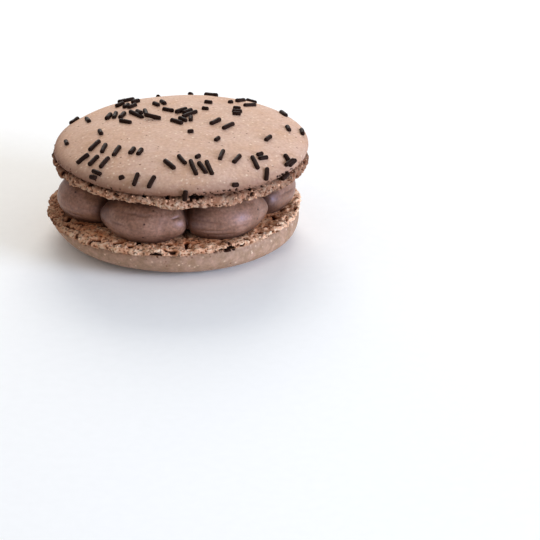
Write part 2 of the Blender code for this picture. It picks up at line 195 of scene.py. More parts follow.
# Chocolate sprinkles
ROD_THICK = 1.35 * MM
ROD_SINK = 0.34 * MM
ROD_SHORTEST = 1.6 * MM
ROD_JITTER = 0.35 * MM
ROD_FAN = 8.0  # degrees that the headings in a drift differ
ROD_SPREAD = 0.16  # how much the lengths differ, as a share of the length
ROD_TRIES = 24  # places tried for a sprinkle before the one with the least lift is taken
ROD_OUTERMOST = 35.2 * MM
ROD_SAMPLES = 4  # places to either side of a sprinkle's middle where it may touch another
ROD_TOUCHES = 0.15  # lift from which a sprinkle lies with one end up, and the most, in thicknesses
ROD_STACKS = 0.8
ROD_THICKNESS = (0.92, 1.04)  # how much the sprinkles' thickness differs, and that of one along itself
ROD_WAVES = (0.96, 1.03)
ROD_END_MOST = 0.4  # share of the length that one rounded end may take
ROD_END_ANGLES = (0.0, 40.0, 65.0, 90.0)  # round one end, where the sprinkle has a ring of points
ROD_STATIONS = 5  # stretches between the two rounded ends
LID_FACE_RINGS = (33.2 * MM, 30.0 * MM, 0.0)  # the flat face of the solid that the sprinkles were laid on
SEED = 11

# Loose crumbs, whose shares say how thickly they lie
CRUMB_CLEAR = 0.1 * MM  # none lie where a slot is deeper than this
CRUMB_OFF_LIP = (0.35 * MM, 0.9 * MM)  # how far past the skin's edge they start
CRUMB_FACE = (29.0 * MM, 32.0 * MM)  # radii between which they start, on the flat faces and on the side
CRUMB_SIDE = (33.5 * MM, 35.2 * MM)
CRUMB_FACE_SHARE = 0.1
CRUMB_SIDE_SHARE = 0.9
CRUMB_FLATTEST = (0.65, 0.65, 0.5)  # the least and most that a crumb is stretched
CRUMB_LONGEST = (1.3, 1.2, 0.95)
CRUMB_TURN = (6.28, 6.28, 6.28)  # the most that it is turned
CRUMB_TONES = (0.1, 1.0)  # from toasted to tan
CRUMB_DENT = 0.5 * MM
CRUMB_DENT_SIZE = 0.4 * MM

# The studio: sizes and distances in m, azimuths and elevations in degrees
FLOOR_WIDE = 6.0
LAMP_WIDE = 0.6
LAMP_AT = (180.0, 30.0)
WINDOW_WIDE = 0.45
WINDOW_AT = (60.0, 13.0)
LAMP_AWAY = 1.0
LAMP_AIM = 0.015  # how high over the table they aim
SENSOR_WIDE = 36.0  # mm

Slot = namedtuple("Slot", "azimuth width depth")
LID_SLOTS = (Slot(6.0, 5.0, 1.6 * MM), Slot(-44.0, 3.5, 1.6 * MM))
BASE_SLOTS = (Slot(-9.0, 3.0, 1.2 * MM), Slot(24.0, 6.0, 1.8 * MM), Slot(30.0, 2.5, 1.4 * MM))

# Where the oven browned a foot more: azimuth and half width in degrees, and how strongly
HotSpot = namedtuple("HotSpot", "azimuth width strength")

# What sets the shells apart: where the skin ends and which way the foot lies from there (1 is up), where
# the shell stands, its slots and hot spots, how far its torn side is drawn in, how plain its almond
# specks are, how dark the skin's edge and the foot beside it are (partly browning, partly painted
# shade), and how caramel it is at the filling
Half = namedtuple("Half", "border up shift slots hot drawn_in speckle edge_brown lip_brown caramel")
LID = Half(
    border=LID_BORDER,
    up=-1.0,
    shift=LID_SHIFT,
    slots=LID_SLOTS,
    hot=(HotSpot(-82.0, 42.0, 1.1), HotSpot(82.0, 100.0, 0.95), HotSpot(-170.0, 60.0, 0.5)),
    drawn_in=0.45 * MM,
    speckle=1.5,
    edge_brown=1.0,
    lip_brown=0.8,
    caramel=0.3,
)
BASE = Half(
    border=BASE_BORDER,
    up=1.0,
    shift=BASE_SHIFT,
    slots=BASE_SLOTS,
    hot=(HotSpot(-84.0, 46.0, 1.3), HotSpot(170.0, 70.0, 0.5)),
    drawn_in=0.15 * MM,
    speckle=0.85,
    edge_brown=0.2,
    lip_brown=0.48,
    caramel=0.9,
)

# A fold in a dollop, the same for every third one: where its middle is in degrees round the dollop, its
# height over the dollop's middle in mm, and how far it runs to either side in degrees
Fold = namedtuple("Fold", "dollop turn height reach")
FOLDS = [
    Fold(*row)
    for row in (
        (0, 33.0, -1.9, 34.0),
        (0, -30.0, 1.2, 30.0),
        (1, 60.0, 2.4, 13.0),
        (1, -25.0, 0.9, 20.0),
        (1, 5.0, 3.9, 34.0),
        (2, -53.0, 1.6, 32.0),
        (2, -42.0, -1.2, 44.0),
        (2, -38.0, -2.7, 46.0),
    )
]
FOLD_HALF_WIDTH = 0.26 * MM
FOLD_WAVER = 0.3 * MM
FOLD_SHADE = 0.6  # how dark the painted shade in a fold is
UNEVEN_SIZE = 4.5 * MM
SEAM_SINK = 1.2 * MM  # how much deeper than the solid's the seams between dollops are at the shells
SEAM_WIDTH = 3.0 * MM
SEAM_CLOSED = 0.5 * MM  # how far over and under the dollops' half height they are as the solid's
SEAM_OPEN = 5.5 * MM
SEAM_SWELL = 1.3 * MM  # how much fuller than the solid's the dollops are where they press on each other
SEAM_PRESSED = 3.0 * MM
SEAM_FREE = 9.0 * MM
SEAM_BELLY = 5.0 * MM  # how far over and under their half height they do
SEAM_SHADE = 5.0 * MM  # how far the painted shade of the corners reaches from the seams, the lid and the lower shell
LID_SHADE = 2.9 * MM
BASE_SHADE = 4.6 * MM
FLANK_SHADE = 0.8  # how dark the painted shade is on a dollop's left flank, away from the window light
FLANK_FROM = 36.0  # degrees round the dollop where that starts and ends
FLANK_TO = 66.0

# A drift is a few sprinkles side by side: its centre on the lid and its pitch in mm, its heading in
# degrees from +X, how many lie in it, and their length in mm
Drift = namedtuple("Drift", "x y heading pitch count length")
DRIFTS = [
    Drift(*row)
    for row in (
        (-14.6, 25.0, 40, 3.6, 3, 2.9),
        (-15.2, 18.2, 52, 2.4, 3, 3.9),
        (-18.4, 9.6, 86, 2.1, 3, 4.0),
        (-11.8, 9.2, 104, 1.7, 3, 5.2),
        (-15.2, 3.4, 143, 0.0, 1, 4.3),
        (-8.5, 5.5, 161, 0.0, 1, 5.7),
        (-30.1, 16.0, 51, 0.0, 1, 4.0),
        (-25.7, 8.9, 102, 0.0, 1, 4.2),
        (-5.6, 17.3, 118, 2.4, 2, 3.2),
        (-3.6, 11.3, 151, 0.0, 1, 2.8),
        (1.6, 9.3, 48, 1.9, 3, 4.6),
        (0.2, 2.4, 132, 3.2, 2, 3.6),
        (2.6, 4.8, 97, 0.0, 1, 3.2),
        (7.4, 15.8, 166, 6.4, 2, 2.1),
        (11.4, 0.4, 58, 3.9, 2, 4.8),
        (3.3, -6.8, 22, 0.0, 1, 2.4),
        (9.8, -10.7, 76, 0.0, 1, 2.5),
        (9.4, 31.6, 138, 0.0, 1, 4.2),
        (16.6, 24.7, 62, 0.0, 1, 6.0),
        (14.4, 20.5, 37, 0.0, 1, 1.8),
        (15.8, 11.4, 176, 2.9, 3, 2.6),
        (20.7, 18.1, 42, 0.0, 1, 3.2),
        (29.2, 15.0, 94, 0.0, 1, 3.8),
        (32.0, 2.0, 106, 3.8, 2, 3.6),
        (23.8, -6.7, 56, 0.0, 1, 4.7),
        (-26.9, -3.5, 90, 9.4, 2, 3.0),
        (-20.9, -14.1, 50, 4.3, 3, 5.0),
        (-23.8, -19.3, 54, 3.6, 3, 4.5),
        (-12.6, -18.1, 70, 2.7, 2, 2.8),
        (-24.2, -26.0, 138, 2.2, 2, 3.0),
        (-16.0, -28.2, 27, 0.0, 1, 1.6),
        (-10.3, -31.6, 68, 3.9, 2, 3.8),
        (-1.8, -24.5, 121, 3.3, 2, 4.8),
        (4.4, -22.0, 58, 0.0, 1, 2.6),
        (5.4, -27.6, 100, 2.3, 3, 6.0),
        (13.1, -21.2, 70, 4.7, 2, 5.0),
        (20.0, -23.0, 114, 0.0, 1, 5.7),
        (22.2, -19.3, 30, 1.9, 2, 3.2),
        (28.5, -17.0, 120, 0.0, 1, 5.5),
        (30.4, -18.8, 60, 3.0, 2, 3.0),
        (23.3, -25.7, 99, 0.0, 1, 3.6),
        (15.0, -31.7, 13, 0.0, 1, 2.0),
        (-1.0, 34.4, 84, 9.0, 2, 3.4),
        (20.5, 28.4, 150, 0.0, 1, 3.6),
    )
]

# Sprinkles caught on the foot: azimuth, height over the underside, lean from upright, length in mm
Stray = namedtuple("Stray", "azimuth height lean length")
STRAYS = (Stray(1.6, 4.4, 6.0, 3.2), Stray(52.5, 3.9, 74.0, 3.2))


def srgb(code):
    """Linear RGB from a hex colour such as #c8a48e."""
    channels = [int(code[i : i + 2], 16) / 255.0 for i in (1, 3, 5)]
    return tuple(c / 12.92 if c <= 0.04045 else ((c + 0.055) / 1.055) ** 2.4 for c in channels)


def colour(label, code, about):
    return FloatVectorProperty(
        name=label, description=about, subtype="COLOR", size=3, min=0.0, max=1.0, default=srgb(code)
    )


def size_of(label, value, about):
    return FloatProperty(name=label, description=about, unit="LENGTH", min=0.0, precision=5, default=value)


class MacaronShell(bpy.types.PropertyGroup):
    """What a baker would change on the shells."""

    lump: size_of("Lump", 1.45 * MM, "Spacing of the lumps of the torn foot")
    lump_height: size_of("Lump height", 0.38 * MM, "From the seam between two lumps to the top of one")
    pore: size_of("Pore", 0.85 * MM, "Spacing of the round pores that the torn foot is full of")
    pore_depth: size_of("Pore depth", 0.52 * MM, "Depth of one pore")
    rim_pore: size_of("Rim pore", 1.15 * MM, "Spacing of the small holes along the skin's edge")
    rim_pore_depth: size_of("Rim pore depth", 0.5 * MM, "Depth of one of those holes")
    cavity: size_of("Cavity", 2.2 * MM, "Width of the holes that steam left in the foot")
    cavity_depth: size_of("Cavity depth", 0.85 * MM, "Depth of one hole")
    skin_waver: size_of("Edge of the skin", 0.4 * MM, "How far the smooth skin's edge strays up and down")
    speck: size_of("Almond speck", 1.45 * MM, "Spacing of the pale almond specks on the dome")
    # The pits are painted shade: dark spots drawn in colour between the foot's lumps
    pit: size_of("Pit", 1.0 * MM, "Size of the dark pits between the foot's lumps")
    cocoa: size_of("Cocoa dot", 1.75 * MM, "Spacing of the dark cocoa dots on the dome")
    crust: colour("Crust", "#cba68f", "The dome's main colour")
    crust_warm: colour("Warm crust", "#c69c7f", "Patches where the dome took more heat")
    rosy: colour("Rosy crust", "#c59d8c", "The mottling of both domes")
    # Painted shade: the lower dome is the lid's batter, painted darker because it faces down, away from the
    # lamps
    shaded_lower_crust: colour("Lower crust", "#a2826b", "The lower dome's main colour")
    shaded_lower_warm: colour("Warm lower crust", "#9b795f", "Patches where the lower dome took more heat")
    almond: colour("Almond", "#e3c5aa", "Pale almond specks")
    cocoa_dot: colour("Cocoa", "#77503d", "Dark cocoa dots")
    # Partly browning and partly painted shade: these darken the skin's edge and the foot under the lip
    rim_brown_and_shade: colour("Brown rim", "#9c8880", "What the bake does to the skin at its edge")
    lip_brown: colour("Brown lip", "#8f766a", "What the bake does to the foot right at the skin")
    # Painted shade and light: the lid's foot is multiplied darker, and the lower shell's upturned torn face
    # is kept lighter
    lid_foot_shade: colour("Lid's crumb", "#cbc5c6", "What the bake does to the lid's foot")
    base_face_light: colour("Lower crumb", "#ffffff", "What the bake does to the lower shell's torn face")
    # Painted shade: the colour of the bottoms of the foot's holes, its pits and the pores in the skin's edge
    hollow_shade: colour("Hollow", "#32170c", "The bottom of the foot's holes")
    browned: colour("Browned", "#bcb1aa", "What the hotter side of the oven does to the foot")
    toasted: colour("Toasted", "#ac7757", "The foot between crumbs")
    crumb_tan: colour("Crumb tan", "#e1ad8b", "The foot's crumbs")
    crumb_pale: colour("Pale crumb", "#ead0b2", "The tips of the foot's crumbs")
    caramel: colour("Caramel", "#e3b697", "Patches of caramel brown on the torn face")


class MacaronCrumbs(bpy.types.PropertyGroup):
    """Loose-looking crumbs that stand on the feet."""

    smallest: size_of("Smallest", 0.12 * MM, "Radius of the smallest crumb")
    largest: size_of("Largest", 0.4 * MM, "Radius of the largest crumb")
    density: FloatProperty(
        name="Density", description="Crumbs for each square metre of foot", min=0.0, default=2.2e5
    )
    seed: IntProperty(name="Seed", description="Picks another scatter", default=4)


class MacaronFilling(bpy.types.PropertyGroup):
    """The piped chocolate filling."""

    drag: size_of("Drag depth", 0.05 * MM, "Depth of the lines that the nozzle left")
    drag_width: size_of("Drag width", 1.1 * MM, "Width of one drag line")
    fold: size_of("Fold depth", 0.28 * MM, "Depth of the folds where the paste was laid on itself")
    uneven: size_of("Unevenness", 0.15 * MM, "Height of the soft swells of a dollop")
    pin_hole: size_of("Pin hole", 2.6 * MM, "Spacing of the pin holes")
    ganache: colour("Ganache", "#835c4a", "The filling's main colour")
    ganache_dark: colour("Dark ganache", "#77533f", "The filling's darker clouds")
    ganache_light: colour("Light ganache", "#9b7662", "The filling's lighter streaks")
    # Painted shade: the colour of the filling's pin holes, folds, seams and corners
    pin_shade: colour("Pin shade", "#391f16", "The inside of a pin hole or a crease")
    fat_shine: colour("Fat shine", "#ffe2f2", "The tint of the filling's shine")


class MacaronSprinkles(bpy.types.PropertyGroup):
    """Chocolate sprinkles on the lid."""

    sides: IntProperty(name="Sides", description="Sides of one sprinkle", min=6, max=32, default=16)
    bend: size_of("Bend", 0.09 * MM, "How far a sprinkle is off straight at its middle")
    round_end: size_of("Rounding", 0.42 * MM, "Rounding of a sprinkle's ends")
    chocolate: colour("Chocolate", "#22110a", "The sprinkles' main colour")
    chocolate_pale: colour("Bloom", "#2d1b15", "Where the sprinkles are rubbed or bloomed")


class MacaronStage(bpy.types.PropertyGroup):
    """The camera, the light and the surface that the macaron stands on."""

    elevation: FloatProperty(
        name="Elevation",
        description="Camera's angle above the table",
        subtype="ANGLE",
        default=math.radians(23.3),
    )
    distance: size_of("Distance", 0.895, "From the camera to the middle of the flat spot")
    focal: FloatProperty(name="Focal length", description="In mm, on a 36 mm sensor", default=209.7)
    aim_right: size_of("Aim right", 0.0274, "How far right of the flat spot the camera looks")
    aim_down: size_of("Aim down", 0.0109, "How far under the flat spot the camera looks")
    table: colour("Table", "#faf8f5", "The surface under the macaron")
    table_fibre: colour("Fibre", "#f6f4f1", "The table's fibres")
    sky: FloatProperty(name="Room light", description="Strength of the even light", default=0.583)
    back_lamp: FloatProperty(name="Back lamp", description="Watts of the lamp behind", default=6.6)
    window: FloatProperty(name="Window", description="Watts of the cool lamp at the right", default=12.6)


def smooth(value, low, high):
    """0 below low, 1 above high, with soft ends."""
    t = min(1.0, max(0.0, (value - low) / (high - low)))
    return t * t * (3.0 - 2.0 * t)


def fade(value, low, high):
    """1 below low, 0 above high, with soft ends."""
    return 1.0 - smooth(value, low, high)


def lobe(azimuth, middle, half_width):
    """1 at the middle azimuth, fading to 0 half_width to either side of it."""
    return fade(abs((azimuth - middle + 180.0) % 360.0 - 180.0), 0.0, half_width)


def bumps(point, size, layer=0.0):
    """Soft noise of about -1 to 1, whose bumps are size across. Each layer is another pattern."""
    return 1.5 * noise.noise(point / size + Vector((layer, 7.3 * layer, 3.1 * layer)))


def azimuth_of(point):
    return math.degrees(math.atan2(point.x, -point.y))


def towards(azimuth):
    """The level direction of an azimuth."""
    turn = math.radians(azimuth)
    return Vector((math.sin(turn), -math.cos(turn), 0.0))


def outward_at(point):
    """The level direction from the upright axis to a point."""
    return Vector((point.x, point.y, 0.0)).normalized()


def add_object(name, data):
    """Puts a new object in the scene, at the origin."""
    obj = bpy.data.objects.new(name, data)
    bpy.context.scene.collection.objects.link(obj)
    return obj


def crag(point):
    """How far the ragged foot stands out, and how far it is pushed up, before it is scaled."""
    out = bumps(point, CRAG_SIZE) + CRUMB_SHARE * bumps(point, CRUMB_SIZE, 1.0)
    up = bumps(point, CRAG_SIZE, 2.0)
    return min(CRAG_MOST, out), up


def slot_depth(azimuth, below_lip, slots):
    """How deep the foot is torn open right under the lip."""
    pocket = smooth(below_lip, 0.0, POCKET_FULL) * fade(below_lip, POCKET_FADE, POCKET_END)
    return pocket * max(slot.depth * lobe(azimuth, slot.azimuth, slot.width) for slot in slots)


def foot_relief(point, below_lip, from_face, slots):
    """How far a point of the foot is moved outwards, up, and in from the shell's flat face."""
    radius = math.hypot(point.x, point.y)
    azimuth = azimuth_of(point)
    out, up = crag(point)
    rough = smooth(below_lip, 0.0, ROUGH_BY)
    slot = slot_depth(azimuth, below_lip, slots)
    outwards = CRAG * out * rough * smooth(radius, SIDE_FROM, SIDE_ALL) - slot
    upwards = CRAG_LIFT * up * rough * smooth(radius, RIM_FROM, RIM_ALL)
    pitted = smooth(radius, CRUMBLY_FROM, CRUMBLY_ALL) * fade(from_face, 0.0, FACE_SKIN)
    return outwards, upwards, PIT * max(0.0, -out) * pitted


def bake_lid(point):
    """Moves a point of the turned lid to where the baked one has it."""
    moved = point.copy()
    azimuth = azimuth_of(point)
    outward = outward_at(point)
    height = point.z - LID_UNDERSIDE
    moved.z += SWELL * bumps(point, SWELL_SIZE) * smooth(height, 0.0, LID_FOOT)
    if height > LID_FOOT:
        share = (height - LID_FOOT) / LID_DOME
        belly = 4.0 * share * (1.0 - share)
        push = SHOULDER_PUSH * lobe(azimuth, SHOULDER_AT, SHOULDER_WIDTH)
        draw = SLOPE_DRAW * lobe(azimuth, SLOPE_AT, SLOPE_WIDTH)
        return moved + outward * belly * (push - draw)
    outwards, upwards, inwards = foot_relief(point, LID_BORDER - point.z, height, LID_SLOTS)
    left = smooth(azimuth, EDGE_RISE_FROM, EDGE_RISE_FROM + EDGE_RISE_FADE)
    right = smooth(azimuth, EDGE_RISE_TO - EDGE_RISE_STEP, EDGE_RISE_TO)
    rim = smooth(math.hypot(point.x, point.y), RIM_FROM, RIM_ALL)
    moved.z += EDGE_RISE * left * (1.0 - right) * rim * (1.0 - height / LID_FOOT)
    moved.z += upwards + inwards
    return moved + outward * outwards


def bake_base(point):
    """Moves a point of the turned lower shell to where the baked one has it."""
    moved = point.copy()
    outward = outward_at(point)
    side = min(1.0, point.z / BASE_BORDER)
    roll = BASE_ROLL * point.x / BASE_RADIUS
    moved.x += BASE_LEAN * (1.0 - side)
    if point.z <= BASE_BORDER:
        moved.z += roll * side
        clear_of_table = smooth(point.z, 0.0, BASE_SWELL_FROM)
        return moved + outward * SWELL * bumps(point, SWELL_SIZE, 4.0) * clear_of_table
    above_lip = point.z - BASE_BORDER
    outwards, upwards, inwards = foot_relief(point, above_lip, BASE_TOP - point.z, BASE_SLOTS)
    rise = BASE_BACK_RISE * smooth(point.y, 0.0, BASE_RADIUS)
    moved.z += (roll + rise) * smooth(math.hypot(point.x, point.y), RIM_FROM, RIM_ALL)
    moved.z += upwards - inwards
    return moved + outward * outwards


def lid_dome(rings):
    """(radius, height) down the dome, from the crown to just over its lip."""
    points = []
    for step in range(rings):
        t = 0.5 * math.pi * (1.0 - step / rings)
        radius = LID_RADIUS * math.cos(t) ** LID_POWER if step else 0.0
        points.append((radius, LID_BORDER + LID_DOME * math.sin(t)))
    return points


def lid_foot():
    """(radius, height) from the dome's lip down the foot to the flat face."""
    return [
        (LID_RADIUS, LID_BORDER),
        (LID_RADIUS - LIP, LID_BORDER - 0.45 * MM),
        (LID_RADIUS + 0.6 * FOOT_BULGE, LID_BORDER - 1.1 * MM),
        (LID_RADIUS + FOOT_BULGE, LID_BORDER - 2.3 * MM),
        (LID_RADIUS, LID_BORDER - 3.3 * MM),
        (LID_RADIUS - 0.6 * MM, LID_UNDERSIDE),
    ]


def base_foot():
    """(radius, height) from the lower shell's flat face down its foot to the dome."""
    return [
        (34.0 * MM, BASE_TOP),
        (BASE_RADIUS - 0.5 * MM, BASE_TOP - 0.1 * MM),
        (BASE_RADIUS + FOOT_BULGE, BASE_TOP - 0.8 * MM),
        (BASE_RADIUS, BASE_BORDER + 0.6 * MM),
        (BASE_DOME_RADIUS - 0.5 * LIP, BASE_BORDER + 0.2 * MM),
    ]


def base_dome(rings):
    """(radius, height) down the lower shell's dome to the flat spot."""
    points = []
    start, end = BASE_TURN_IN
    for step in range(rings + 1):
        t = math.radians(start + (end - start) * step / rings)
        points.append((BASE_DOME_RADIUS * math.cos(t) ** BASE_POWER, BASE_BORDER * (1.0 - math.sin(t))))
    return points + [(FLAT_SPOT, 0.0)]


def between(a, b, c, d, t):
    """The value at share t of the way from b to c on a smooth curve through four values."""
    bend = 2.0 * a - 5.0 * b + 4.0 * c - d
    twist = 3.0 * b - a - 3.0 * c + d
    return 0.5 * (2.0 * b + (c - a) * t + bend * t**2 + twist * t**3)


def curve_through(points, spacing):
    """The points of a smooth curve through the given ones, about spacing apart."""
    ends = [points[0]] + list(points) + [points[-1]]
    curve = []
    for before, start, end, after in zip(ends, ends[1:], ends[2:], ends[3:]):
        steps = max(1, round(math.dist(start, end) / spacing))
        for step in range(steps):
            share = step / steps
            curve.append(tuple(between(*four, share) for four in zip(before, start, end, after)))
    return curve + [points[-1]]


def flat_rows(height, outer):
    """(radius, height) across a flat face, from just inside its outer radius to the middle."""
    rows = []
    radius = outer
    while radius > CRUMBLY_FROM - MM:
        radius -= FACE_ROW
        rows.append((radius, height))
    while radius > MIDDLE_ROW:
        radius -= MIDDLE_ROW
        rows.append((max(radius, 0.0), height))
    return rows + [(0.0, height)]


def turned(name, profile, steps):
    """A closed mesh object turned from a profile of (radius, height) points."""
    mesh = bpy.data.meshes.new(name)
    edges = [(i, i + 1) for i in range(len(profile) - 1)]
    mesh.from_pydata([(radius, 0.0, height) for radius, height in profile], edges, [])
    obj = add_object(name, mesh)
    screw = obj.modifiers.new("turn", "SCREW")
    screw.axis = "Z"
    screw.steps = steps
    screw.render_steps = steps
    screw.use_merge_vertices = True
    screw.merge_threshold = WELD
    return apply_modifiers(obj)


def apply_modifiers(obj):
    """Gives the object its evaluated mesh and drops its modifiers."""
    bpy.context.view_layer.update()
    graph = bpy.context.evaluated_depsgraph_get()
    mesh = bpy.data.meshes.new_from_object(obj.evaluated_get(graph))
    mesh.name = obj.name
    obj.modifiers.clear()
    obj.data = mesh
    return obj


def torn(point, shell):
    """How far torn sponge stands out at a point: lumps, less the pores and holes in it."""
    warp = Vector([bumps(point, shell.lump, layer) for layer in (6.0, 7.0, 8.0)])
    warped = point + LUMP_BENT * shell.lump * warp
    grain = LUMP_GRAIN * bumps(point, 0.5 * shell.pore, 9.0)
    lump = LUMP_TOP - LUMP_FALL * noise.voronoi(warped / shell.lump)[0][0] + grain
    distances, middles = noise.voronoi(warped / shell.pore)
    draw = middles[0].dot(PORE_DRAW) % 1.0
    width = PORE_NARROWEST + draw * (PORE_WIDEST - PORE_NARROWEST)
    pore = fade(distances[0], 0.5 * width, width)
    hole = smooth(-bumps(point, shell.cavity, 5.0), HOLE_FROM, HOLE_ALL)
    return shell.lump_height * lump - shell.pore_depth * pore - shell.cavity_depth * hole


def ripped_slot(point, past, slots):
    """How deep a slot is with torn edges, and how deep the solid has it."""
    azimuth = azimuth_of(point)
    along = azimuth + RIP_ALONG * bumps(point, RIP_SIZE, 14.0)
    down = past + RIP_DOWN * bumps(point, RIP_SIZE, 15.0)
    torn_open = smooth(slot_depth(along, down, slots), RIP_FROM, RIP_ALL)
    return RIP_DEPTH * torn_open, slot_depth(azimuth, past, slots)


def rim_pore(point, up, shell):
    """1 in the small holes along the lid's skin edge, most of them at the front right."""
    if up > 0.0:
        return 0.0
    along, down = (bumps(point, RIM_PORE_FRAY_SIZE, layer) for layer in (12.0, 13.0))
    frayed = RIM_PORE_FRAY * shell.rim_pore * Vector((along, 0.0, down))
    distances, middles = noise.voronoi((point + frayed) / shell.rim_pore)
    often = RIM_PORES_FEW + RIM_PORES_MORE * lobe(azimuth_of(point), RIM_PORES_AT, RIM_PORES_WIDTH)
    if middles[0].dot(PORE_DRAW) % 1.0 > often:
        return 0.0
    return fade(distances[0], 0.6 * RIM_PORE_RADIUS, RIM_PORE_RADIUS)


def shell_mesh(obj, bake, half, shell):
    """Bakes a turned shell, tears its foot and puts it in its place.

    The torn side and the edge of the skin are drawn in a little, so that the lumps reach as far as the
    solid's and the skin curls in under itself. Each point keeps five numbers for the material: "rough"
    is 1 where it is torn, "height" is how far in mm it stands out there, which the material turns into
    painted shade in the hollows, "edge" is 1 at the border and 0 from EDGE_BAND away to either side and
    is lower on the right as painted light, "inner" grows to 1 towards the filling, and "hot" says how
    much the oven browned it.
    """
    turned_points = [vert.co.copy() for vert in obj.data.vertices]
    for vert, point in zip(obj.data.vertices, turned_points):
        vert.co = bake(point)
    obj.data.update()
    normals = [Vector(item.vector) for item in obj.data.vertex_normals]
    values = {name: [] for name in ("rough", "height", "edge", "inner", "hot")}
    for vert, point, normal in zip(obj.data.vertices, turned_points, normals):
        past = half.up * (point.z - half.border)
        waver = shell.skin_waver * bumps(point, SKIN_RAG, 3.0)
        radius = math.hypot(point.x, point.y)
        share = smooth(past + waver, 0.0, TORN_BY) * smooth(radius, TORN_FROM, CRUMBLY_FROM)
        edge = fade(abs(past), 0.0, EDGE_BAND)
        azimuth = azimuth_of(point)
        rise = share * torn(point, shell) if share > 0.0 else 0.0
        if edge > 0.0 and share < 1.0:
            at_rim = smooth(edge, RIM_PORES_FROM, RIM_PORES_ALL)
            rise -= shell.rim_pore_depth * (1.0 - share) * at_rim * rim_pore(point, half.up, shell)
        vert.co += normal * rise
        curl = max(share, fade(-past, 0.0, CURL))
        inwards = half.drawn_in * curl * smooth(radius, RIM_FROM, RIM_ALL)
        if share > 0.0:
            rip, slot = ripped_slot(point, past, half.slots)
            inwards += rip - slot
            rise -= rip
        vert.co.xy -= point.xy.normalized() * inwards
        values["rough"].append(share)
        values["height"].append(rise / MM)
        # Painted light: the edge band is made lighter on the right, where the window lamp falls
        values["edge"].append(edge * (1.0 - EDGE_LIT_SIDE * lobe(azimuth, LIT_SIDE_AT, LIT_SIDE_WIDTH)))
        values["inner"].append(fade(radius, INNER_ALL, INNER_FROM))
        heats = (spot.strength * lobe(azimuth, spot.azimuth, spot.width) for spot in half.hot)
        values["hot"].append(sum(heats))
    for name, numbers in values.items():
        obj.data.attributes.new(name, "FLOAT", "POINT").data.foreach_set("value", numbers)
    obj.data.shade_smooth()
    obj.data.transform(Matrix.Translation(half.shift))
    obj.data.update()


def settle(obj, material, nodes=()):
    """Gives a finished piece its material, its body and the solids that it stands for."""
    obj.data.materials.clear()
    obj.data.materials.append(material)
    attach(obj, "root")
    if nodes:
        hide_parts(*nodes)


def feed(tree, node, inputs):
    """Links each input that is given a socket, or a node's first output in use, and sets the others."""
    for name, value in inputs.items():
        if isinstance(value, bpy.types.Node):
            value = next(socket for socket in value.outputs if socket.enabled)
        if isinstance(value, bpy.types.NodeSocket):
            tree.links.new(value, node.inputs[name])
        else:
            node.inputs[name].default_value = value


def add_node(tree, kind, inputs=None, **settings):
    """Adds a node with its settings and what goes into it."""
    made = tree.nodes.new(kind)
    for name, value in settings.items():
        setattr(made, name, value)
    feed(tree, made, inputs or {})
    return made


def opaque(rgb):
    return (*rgb, 1.0)


def blank_material(name):
    """A material with its tree and shader, and the socket that says where a point is."""
    material = bpy.data.materials.new(name)
    material.use_nodes = True
    tree = material.node_tree
    where = add_node(tree, "ShaderNodeTexCoord").outputs["Object"]
    return material, tree, tree.nodes["Principled BSDF"], where


